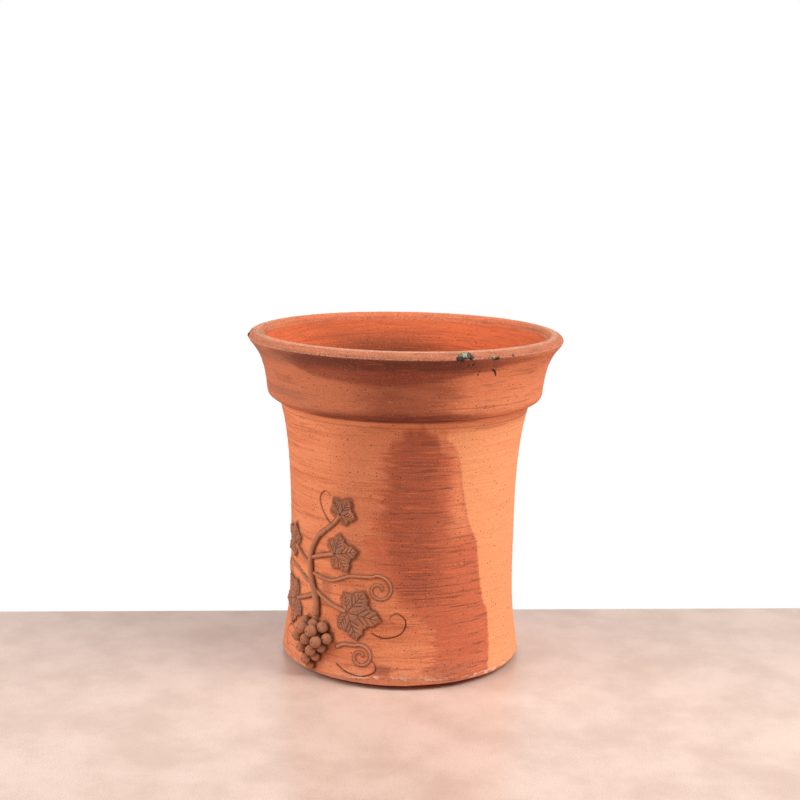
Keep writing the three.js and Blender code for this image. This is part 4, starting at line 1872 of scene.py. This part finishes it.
@dataclass(frozen=True)
class Terracotta:
    """The pot's own clay: coarse, unglazed, flashed light and dark by the flame, with painted shade and
    painted light in places.

    Places are in millimetres up or from the axis, or in degrees from the front, from where to where.

    Attributes:
        orange: The clay where the flame left it light.
        warm: The clay between.
        lip: The rubbed lip.
        scraped: The scraped foot.
        salts: The pale salts on the edges.
        recess: The painted shade in cuts, in creases and round the sprig's clay.
        slip: The brown slip round the sprig.
        line: The dark of a throwing line, also used for the painted shade along the lip's inner edge.
        flash: The bright of a throwing line.
        iron: The iron specks.
        grog: The pale grog.
        within: The inside.
        within_smear: The brown smears inside.
        soot_and_shade: The dark of the sooty specks under the lip, and of the painted shade under the foot.
        lip_start: Where the lip's own colours begin.
        lip_back: Where they give way to the inside's red at the back.
        lip_rubbed: Across which radii the rubbing grows.
        lip_inner: Where the painted shade along the lip's inner edge lies.
        lip_salts: The lines of salts round the lip, each with its share at the front.
        lip_soot: Where grains of soot lie.
        faint_line: The line under the collar.
        foot_top: How high the scraping reaches at the back and at the front.
        foot_front: How far round the front it reaches high.
        foot_salts: Between which places its edge is palest.
        foot_bloom: Where the foot has a pale bloom.
        foot_dark: Where the painted shade under the foot is full, and where it ends.
        back: Where the smears begin and are full, to the left and to the right of the back.
        back_rise: Above what heights they show.
        depth: Below which height the smears are full, and above which they are faint.
        mouth: Where the inside's colour begins under the lip.
        patches: The patches of other colour, the lowest first.
    """

    orange: Colour = seen(238, 146, 100)
    warm: Colour = seen(222, 126, 84)
    lip: Colour = seen(188, 110, 76)
    scraped: Colour = seen(203, 118, 84)
    salts: Colour = seen(244, 206, 180)
    recess: Colour = seen(60, 28, 20)
    slip: Colour = seen(164, 96, 68)
    line: Colour = seen(104, 54, 40)
    flash: Colour = seen(236, 122, 74)
    iron: Colour = seen(62, 32, 26)
    grog: Colour = seen(252, 190, 146)
    within: Colour = seen(230, 112, 66)
    within_smear: Colour = seen(130, 70, 44)
    soot_and_shade: Colour = seen(66, 36, 27)
    lip_start: Uv = (273.6, 274.5)
    lip_back: Uv = (95.0, 135.0)
    lip_rubbed: Uv = (119.5, 125.0)
    lip_inner: Uv = (118.6, 120.2)
    lip_salts: tuple[tuple[float, float, float], ...] = ((274.2, 275.2, 0.3), (279.3, 280.5, 0.4))
    lip_soot: Uv = (262.0, 275.5)
    faint_line: Uv = (215.4, 216.4)
    foot_top: Uv = (6.4, 10.4)
    foot_front: float = 29.0
    foot_salts: Uv = (-24.0, 58.0)
    foot_bloom: Uv = (10.0, 20.0)
    foot_dark: Uv = (3.2, 4.4)
    back: tuple[Uv, Uv] = ((-164.0, -118.0), (148.0, 180.0))
    back_rise: Uv = (130.0, 225.0)
    depth: Uv = (246.0, 268.0)
    mouth: Uv = (272.5, 275.5)
    patches: tuple[Patch, ...] = (
        # the warm haze up the front, left of the wash, and the pale column right of the wash
        # the haze is partly the clay's flashing and partly painted shade, where the wall tilts down
        Patch(seen(196, 112, 78), Edge(-32, 8, 5), Edge(0, 6, 4), Edge(84, 26), Edge(216, 6), 0.5, 0.4, 0.6),
        Patch(seen(254, 166, 114), Edge(WASH_RIGHT, 1.2, 0.4), Edge(126, 26), None, Edge(214, 5, 3),
              lined=0.12),
        # the red-brown wash down the front, its dark heart, its bright right side and the fading
        # of its upper right corner
        Patch(seen(204, 106, 74), Edge(WASH_LEFT, 2.4, 11), Edge(WASH_RIGHT, 1.2, 0.4), None,
              Edge(WASH_TOP, 4, 9), 0.95, 0.25, 1.0),
        Patch(seen(160, 80, 56), Edge(-8, 4, 6), Edge(((70, 24), (120, 17), (206, 17)), 8, 6),
              Edge(((-10, 122), (4, 84), (24, 76)), 12, 10), Edge(WASH_TOP, 4, 9), 0.75, 0.4),
        # this bright right side is partly a paler wash and partly painted light from the right
        Patch(seen(220, 116, 80), Edge(((20, 38), (80, 30), (206, 22)), 6, 6),
              Edge(WASH_RIGHT, 1.2, 0.4), None, Edge(212, 10), 0.7, 0.3, 0.8),
        Patch(seen(246, 152, 104), Edge(24, 4, 3), Edge(WASH_RIGHT, 2), Edge(128, 12, 6), Edge(214, 6),
              0.8, 0.2, 0.35),
        # the collar: tan to the left, brighter and streaked to the right, brown at the front, painted
        # shade above the crease where the collar turns under, and a stain with painted shade in it under the
        # lip
        Patch(seen(185, 106, 74), Edge(-100, 20), Edge(8, 12), Edge(222, 1.5), Edge(270, 4), 0.8, 0.4, 0.5),
        Patch(seen(232, 136, 94), Edge(8, 12), Edge(120, 25), Edge(222, 1.5), Edge(270, 4), 0.8, 0.5, 0.8),
        Patch(seen(138, 64, 44), Edge(-16, 9, 6), Edge(20, 8, 6), Edge(222, 2), Edge(262, 8, 4), 0.75, 0.4),
        # painted shade above the crease, where the collar turns under
        Patch(seen(103, 43, 30), Edge(-40, 12, 6), Edge(30, 12, 6), Edge(220.5, 1.5), Edge(228, 4, 2), 0.8,
              0.2),
        # the stain under the lip, with painted shade in it
        Patch(seen(138, 62, 45), Edge(-56, 6, 5), Edge(46, 14, 8), Edge(STAIN_AND_SHADE_LOW, 2.5, 1.5), Edge(275, 1),
              0.8, 0.3),
        # the darkest band under the lip's corner: stain and painted shade
        Patch(seen(104, 52, 40), Edge(-46, 12, 8), Edge(24, 9, 6), Edge(264, 3, 2), Edge(275, 0.6), 0.85,
              0.25),
        Patch(seen(168, 112, 88), Edge(-96, 10), Edge(-44, 8, 4), Edge(262, 4, 2), Edge(275, 0.6), 0.6, 0.3),
        Patch(seen(146, 92, 72), Edge(-76, 8), Edge(-42, 6, 4), Edge(233, 2, 1), Edge(241, 2, 1), 0.55, 0.5),
        Patch(seen(170, 92, 66), Edge(-62, 2, 1), Edge(-49, 3, 2), Edge(246, 1, 1), Edge(252, 1, 1), 0.5,
              0.4),
        # smudges on the wall
        Patch(seen(146, 86, 62), Edge(-42.6, 1.6, 0.8), Edge(-36.6, 1.6, 0.8), Edge(62, 4),
              Edge(90, 2.5, 1.5), 0.45),
        Patch(seen(136, 70, 52), Edge(-13, 2, 3), Edge(-4, 3, 3), Edge(12, 2, 1.5), Edge(20, 2, 1.5), 0.65),
        Patch(seen(150, 78, 56), Edge(14, 6, 3), Edge(34, 6, 3), Edge(12, 2, 1), Edge(19, 2, 1), 0.45, 0.6),
        Patch(seen(176, 92, 66), Edge(-2, 2, 2), Edge(8, 2, 2), Edge(72, 2, 1), Edge(80, 2, 1), 0.6, 0.4),
        Patch(seen(240, 120, 84), Edge(50, 4, 3), Edge(80, 6), Edge(190, 3, 3), Edge(198, 3, 3), 0.22, 0.5),
        Patch(seen(242, 136, 94), Edge(48, 5, 3), Edge(66, 6), Edge(140, 2, 2), Edge(146, 2, 2), 0.15, 0.4),
        Patch(seen(198, 106, 74), Edge(32, 3, 2), Edge(52, 3, 2), Edge(213, 0.5, 0.8), Edge(214.6, 0.5, 0.8),
              0.6, 0.4),
    )

    def material(self) -> bpy.types.Material:
        """Builds the clay.

        Returns:
            The material.
        """
        b = Bench(bpy.data.materials.new("terracotta_thrown"))
        g = Ground.of(b)
        colour = b.mix(b.ease(b.blend(g.streak, 0.5, g.drift), 0.38, 0.6), self.warm, self.orange)
        lined: Value = 0.45
        for patch in self.patches:
            share = self._patch(b, patch, g)
            colour = b.mix(share, colour, patch.colour)
            if patch.lined is not None:
                lined = b.math("ADD", lined, b.times(share, b.math("SUBTRACT", patch.lined, lined)))
        colour = self._lip(b, colour, g)
        colour = self._foot(b, colour, g)
        colour = self._within(b, colour, g)
        colour = self._grained(b, colour, lined, g)
        colour = b.tint(colour, self.slip, b.attribute("slip"), 0.6)
        # painted shade in cuts, creases and round the sprig's clay
        colour = b.tint(colour, self.recess, b.attribute("recess"), 0.9)

        normal = b.bump(g.dash, 0.5 * MM, 0.5)
        normal = b.bump(g.grain, 0.6 * MM, 0.6, normal)
        normal = b.bump(b.noise(g.spot, 520.0, 3.0, 0.7), 0.6 * MM, 0.3, normal)
        return b.finish(colour, b.math("ADD", 0.78, b.times(g.grain, 0.2)), normal)

    @staticmethod
    def _patch(b: Bench, patch: Patch, g: Ground) -> Value:
        """Finds where a patch shows.

        Args:
            b: The material in work.
            patch: The patch.
            g: The ground.

        Returns:
            The patch's share, from 0 to 1.
        """
        across = (g.turned, b.blend(g.wander, 0.4, g.dash), g.height)
        up = (g.height, g.rise, g.turned)
        share: Value = patch.strength
        for edge, (place, stray, along), sign in ((patch.left, across, 1.0), (patch.right, across, -1.0),
                                                  (patch.low, up, 1.0), (patch.high, up, -1.0)):
            if edge is None:
                continue
            off = b.math("SUBTRACT", place, b.course(along, edge.at))
            if edge.ragged:
                off = b.math("ADD", off, b.times(b.math("SUBTRACT", stray, 0.5), 5 * edge.ragged))
            share = b.times(share, b.ease(b.times(off, sign), -edge.soft, edge.soft))
        if patch.broken:
            lines = b.ease(b.blend(g.dash, 0.4, g.streak), 0.36, 0.6)
            share = b.times(share, b.between(lines, 1 - patch.broken, 1.0))
        return share

    def _lip(self, b: Bench, colour: Socket, g: Ground) -> Socket:
        """Adds the rubbed lip with its salts and its sand, the sooty specks under it, and painted shade
        along its inner edge.

        Args:
            b: The material in work.
            colour: The colour so far.
            g: The ground.

        Returns:
            The colour.
        """
        back = b.ease(b.math("ABSOLUTE", g.turned), *self.lip_back)
        upper = b.ease(g.height, *self.lip_start)
        colour = b.tint(colour, self.within, upper, back, 0.6)
        rubbed = b.times(b.spread(g.radius, *self.lip_rubbed, 0.35, 0.9), b.between(back, 1.0, 0.4))
        colour = b.tint(colour, self.lip, upper, rubbed)
        for low, high, share in self.lip_salts:
            line = b.times(b.band(g.height, low, high, 0.4), b.between(back, share, 0.1))
            colour = b.tint(colour, self.salts, line, b.ease(g.grain, 0.36, 0.56))
        colour = b.tint(colour, self.salts, b.ease(g.grain, 0.54, 0.66), upper, 0.38)
        soot_and_shade = b.times(b.fade(g.grain, 0.36, 0.46), b.band(g.height, *self.lip_soot, 5.0))
        colour = b.tint(colour, self.soot_and_shade, soot_and_shade, 0.65)
        # painted shade along the lip's inner edge, where it turns down inside
        inner = b.times(b.band(g.radius, *self.lip_inner, 0.6), b.ease(g.height, 272.0, 275.0))
        return b.tint(colour, self.line, inner, 0.2)

    def _foot(self, b: Bench, colour: Socket, g: Ground) -> Socket:
        """Adds the faint line under the collar, the scraped foot with its salts, and the painted shade under
        the foot.

        Args:
            b: The material in work.
            colour: The colour so far.
            g: The ground.

        Returns:
            The colour.
        """
        strayed = b.math("ADD", g.height, b.times(b.math("SUBTRACT", g.rise, 0.5), 3.0))
        colour = b.tint(colour, self.line, b.band(strayed, *self.faint_line, 0.7), 0.35)
        off_front = b.math("POWER", b.math("DIVIDE", g.turned, self.foot_front), 2.0)
        front = b.math("POWER", math.e, b.times(off_front, -1.0))
        top = b.between(front, *self.foot_top)
        colour = b.tint(colour, self.scraped, b.ease(b.math("SUBTRACT", top, strayed), -0.5, 0.5), 0.75)
        chalk = b.ease(b.drawn(g.spot, 120, 300, 4.0, 0.7), 0.45, 0.6)
        edge = b.band(b.math("SUBTRACT", strayed, top), -1.6, 1.4, 0.8)
        edge = b.times(edge, b.between(b.band(g.turned, *self.foot_salts, 9.0), 0.3, 0.85))
        colour = b.tint(colour, self.salts, chalk, edge)
        colour = b.tint(colour, self.salts, chalk, b.band(strayed, *self.foot_bloom, 5.0), 0.12)
        # painted shade under the foot's edge, over the underside and its ring
        return b.tint(colour, self.soot_and_shade, b.fade(g.height, *self.foot_dark), 0.9)

    def _within(self, b: Bench, colour: Socket, g: Ground) -> Socket:
        """Adds the inside, redder, and smeared brown in bands across its back.

        Args:
            b: The material in work.
            colour: The colour so far.
            g: The ground.

        Returns:
            The colour.
        """
        left, right = self.back
        depth = b.fade(g.height, *self.depth)
        bands = b.ease(b.blend(g.streak, 0.6, g.drift), 0.44, 0.6)
        back = b.math("MAXIMUM", b.fade(g.turned, *left), b.ease(g.turned, *right))
        back = b.times(back, b.ease(g.height, *self.back_rise))
        inner: Value = self.within
        for smear, deepest in ((bands, 0.6), (back, 0.78)):
            inner = b.tint(inner, self.within_smear, smear, b.between(depth, 0.25, deepest))
        return b.mix(b.times(b.attribute("inside"), b.fade(g.height, *self.mouth)), colour, inner)

    def _grained(self, b: Bench, colour: Socket, lined: Value, g: Ground) -> Socket:
        """Adds the throwing lines, the pale grog, the grain and the iron specks.

        Args:
            b: The material in work.
            colour: The colour so far.
            lined: How clearly the throwing lines show.
            g: The ground.

        Returns:
            The colour.
        """
        lines = b.blend(g.dash, 0.65, g.streak)
        colour = b.tint(colour, self.line, b.fade(lines, 0.36, 0.48), lined, 0.65)
        colour = b.tint(colour, self.flash, b.ease(lines, 0.53, 0.64), lined, 0.55)
        colour = b.tint(colour, self.grog, b.specks(g.spot, scale=800.0, size=0.4, kept=0.3), 0.2)
        colour = b.grained(colour, g.grain, 0.6, 1.3)
        colour = b.tint(colour, self.iron, b.fade(g.grain, 0.28, 0.35), 0.5)
        fine = b.specks(g.spot, scale=420.0, size=0.26, kept=0.5)
        coarse = b.specks(g.spot, scale=110.0, size=0.09, kept=0.2)
        return b.tint(colour, self.iron, b.math("MAXIMUM", fine, coarse), 0.75)


@dataclass(frozen=True)
class SprigClay:
    """The sprig's clay: brown from the slip, with near black painted shade in its recesses and under its
    pieces, and orange on its edges, partly rubbed and partly painted highlight.
    """

    brown: Colour = seen(158, 104, 80)
    warm: Colour = seen(182, 112, 80)
    # orange on the sharp edges: partly rubbed clay, partly painted highlight
    rubbed: Colour = seen(226, 156, 114)
    # the painted shade in recesses and under the pieces
    dark: Colour = seen(38, 22, 17)
    iron: Colour = seen(48, 28, 22)
    roughness: float = 0.82

    def material(self) -> bpy.types.Material:
        """Builds the clay.

        Returns:
            The material.
        """
        b = Bench(bpy.data.materials.new("sprig_slip"))
        spot = b.coordinates()
        grain = b.noise(spot, 1400.0, 3.0, 0.75)
        pointy = b.add("ShaderNodeNewGeometry").outputs["Pointiness"]
        colour = b.mix(b.ease(b.noise(spot, 70.0, 4.0, 0.6), 0.4, 0.62), self.brown, self.warm)
        # painted highlight on the sharp edges, with some real rubbing
        colour = b.tint(colour, self.rubbed, b.ease(pointy, 0.5, 0.57), 0.55)
        # painted shade in recesses and under the pieces
        colour = b.tint(colour, self.dark, b.attribute("recess"), 0.9)
        colour = b.grained(colour, grain, 0.78, 1.18)
        colour = b.tint(colour, self.iron, b.specks(spot, scale=330.0, size=0.2, kept=0.25), 0.7)
        normal = b.bump(grain, 0.5 * MM, 0.55)
        normal = b.bump(b.noise(spot, 420.0, 3.0, 0.6), 0.7 * MM, 0.35, normal)
        return b.finish(colour, self.roughness, normal)


@dataclass(frozen=True)
class Crumb:
    """The crumbs' dark glass, with a grey-green bloom."""

    black: Colour = seen(44, 30, 25)
    green: Colour = seen(186, 188, 150)
    roughness: float = 0.6
    specular: float = 0.35

    def material(self) -> bpy.types.Material:
        """Builds the glassy crumbs.

        Returns:
            The material.
        """
        b = Bench(bpy.data.materials.new("kiln_crumb"))
        spot = b.coordinates()
        share = b.times(b.attribute("bloom"), b.ease(b.noise(spot, 700.0, 3.0, 0.7), 0.4, 0.55))
        normal = b.bump(b.noise(spot, 900.0, 3.0, 0.6), 0.6 * MM, 0.6)
        return b.finish(b.mix(share, self.black, self.green), self.roughness, normal, self.specular)


# ---------------------------------------------------------------------------------------------
# The studio
# ---------------------------------------------------------------------------------------------


@dataclass(frozen=True)
class Softbox:
    """A square light: where it stands round the pot, how high, how far, how large, how bright."""

    name: str
    azimuth: float
    elevation: float
    distance: float
    size: float
    power: float


@dataclass(frozen=True)
class Studio:
    """The camera, the lights, the pale board and the white room."""

    camera_place: tuple[float, float, float] = (-3.9 * MM, -1167.6 * MM, 436.5 * MM)
    camera_pitch: float = 10.52
    camera_roll: float = 1.063
    camera_lens: float = 62.96
    sensor: float = 36.0
    board_back: float = 96.5 * MM
    board_turn: float = 0.069
    board_reach: float = 3.0
    board_thickness: float = 25 * MM
    board_colour: Colour = seen(228, 200, 184)
    board_shade: Colour = seen(210, 180, 163)
    board_grain: tuple[float, float] = (0.72, 1.18)
    board_roughness: float = 0.33
    board_specular: float = 0.8
    room_light: float = 0.15
    boxes: tuple[Softbox, ...] = (
        Softbox("left_softbox", -72, 28, 1.7, 1.1, 22.5),
        Softbox("right_softbox", 66, 44, 1.7, 1.1, 30.5),
        Softbox("top_softbox", 0, 78, 1.7, 1.1, 3.0),
    )

    def set_camera(self) -> None:
        """Puts the camera where the photograph was taken from."""
        data = bpy.data.cameras.new("camera")
        data.lens = self.camera_lens
        data.sensor_width = self.sensor
        data.sensor_fit = "HORIZONTAL"
        data.clip_start = 0.01
        camera = bpy.data.objects.new("camera", data)
        tilt = Matrix.Rotation(math.radians(90 - self.camera_pitch), 4, "X")
        roll = Matrix.Rotation(math.radians(self.camera_roll), 4, "Z")
        camera.matrix_world = Matrix.Translation(self.camera_place) @ tilt @ roll
        bpy.context.scene.collection.objects.link(camera)
        bpy.context.scene.camera = camera

    def set_lights(self) -> None:
        """Stands the softboxes round the pot."""
        middle = Vector((0, 0, CAD_BOX[1].z / 2))
        for box in self.boxes:
            data = bpy.data.lights.new(box.name, "AREA")
            data.size = box.size
            data.energy = box.power
            light = bpy.data.objects.new(box.name, data)
            turned, raised = math.radians(box.azimuth), math.radians(box.elevation)
            way = Vector((math.sin(turned) * math.cos(raised), -math.cos(turned) * math.cos(raised),
                          math.sin(raised)))
            facing = way.to_track_quat("Z", "Y").to_matrix().to_4x4()
            light.matrix_world = Matrix.Translation(middle + way * box.distance) @ facing
            bpy.context.scene.collection.objects.link(light)

    def set_room(self) -> None:
        """Makes the room white to the eye, and a plain soft light to the pot."""
        world = bpy.data.worlds.new("white_room")
        bpy.context.scene.world = world
        b = Bench(world)
        rays = b.add("ShaderNodeLightPath").outputs
        looked_at = b.math("MAXIMUM", rays["Is Camera Ray"], rays["Is Glossy Ray"])
        looked_at = b.math("MAXIMUM", looked_at, rays["Is Transmission Ray"])
        fed = {"Color": (1, 1, 1, 1), "Strength": b.between(looked_at, self.room_light, 1.0)}
        b.add("ShaderNodeOutputWorld", {"Surface": b.add("ShaderNodeBackground", fed).outputs[0]})

    def set_board(self) -> None:
        """Lays the pale slab that the pot stands on, with its edge close behind the pot."""
        bm = bmesh.new()
        bmesh.ops.create_cube(bm, size=1)
        for vert in bm.verts:
            vert.co.x *= 2 * self.board_reach
            behind = self.board_back + self.board_turn * vert.co.x
            vert.co.y = behind if vert.co.y > 0 else -self.board_reach
            vert.co.z = 0.0 if vert.co.z > 0 else -self.board_thickness
        mesh = bpy.data.meshes.new("board")
        bm.to_mesh(mesh)
        bm.free()
        board = bpy.data.objects.new("board", mesh)
        bpy.context.scene.collection.objects.link(board)
        b = Bench(bpy.data.materials.new("pale_board"))
        spot = b.coordinates()
        grain = b.noise(spot, 900.0, 3.0, 0.75)
        cloud = b.ease(b.noise(spot, 14.0, 5.0, 0.65), 0.35, 0.68)
        colour = b.grained(b.mix(cloud, self.board_colour, self.board_shade), grain, *self.board_grain)
        normal = b.bump(grain, 0.3 * MM, 0.25)
        dress(board, b.finish(colour, self.board_roughness, normal, self.board_specular))

    def build(self) -> None:
        """Sets up the whole studio."""
        self.set_camera()
        self.set_lights()
        self.set_room()
        self.set_board()
        bpy.context.scene.view_settings.view_transform = "Standard"


def main() -> None:
    """Builds the pot, its sprig and the studio, in that order."""
    logging.basicConfig(level=logging.INFO, format="%(name)s: %(message)s")
    outline = Outline()
    wall = Wall(tuple(outline.outside()))
    sprig = VineSprig(wall)
    marks = Marks(sprig.sizes.span, sprig.footprint())
    ThrownVessel(outline, wall, marks).build(Terracotta())
    sprig.build(SprigClay())
    KilnCrumbs(wall).build(Crumb())
    Studio().build()


if __name__ == "__main__":
    main()
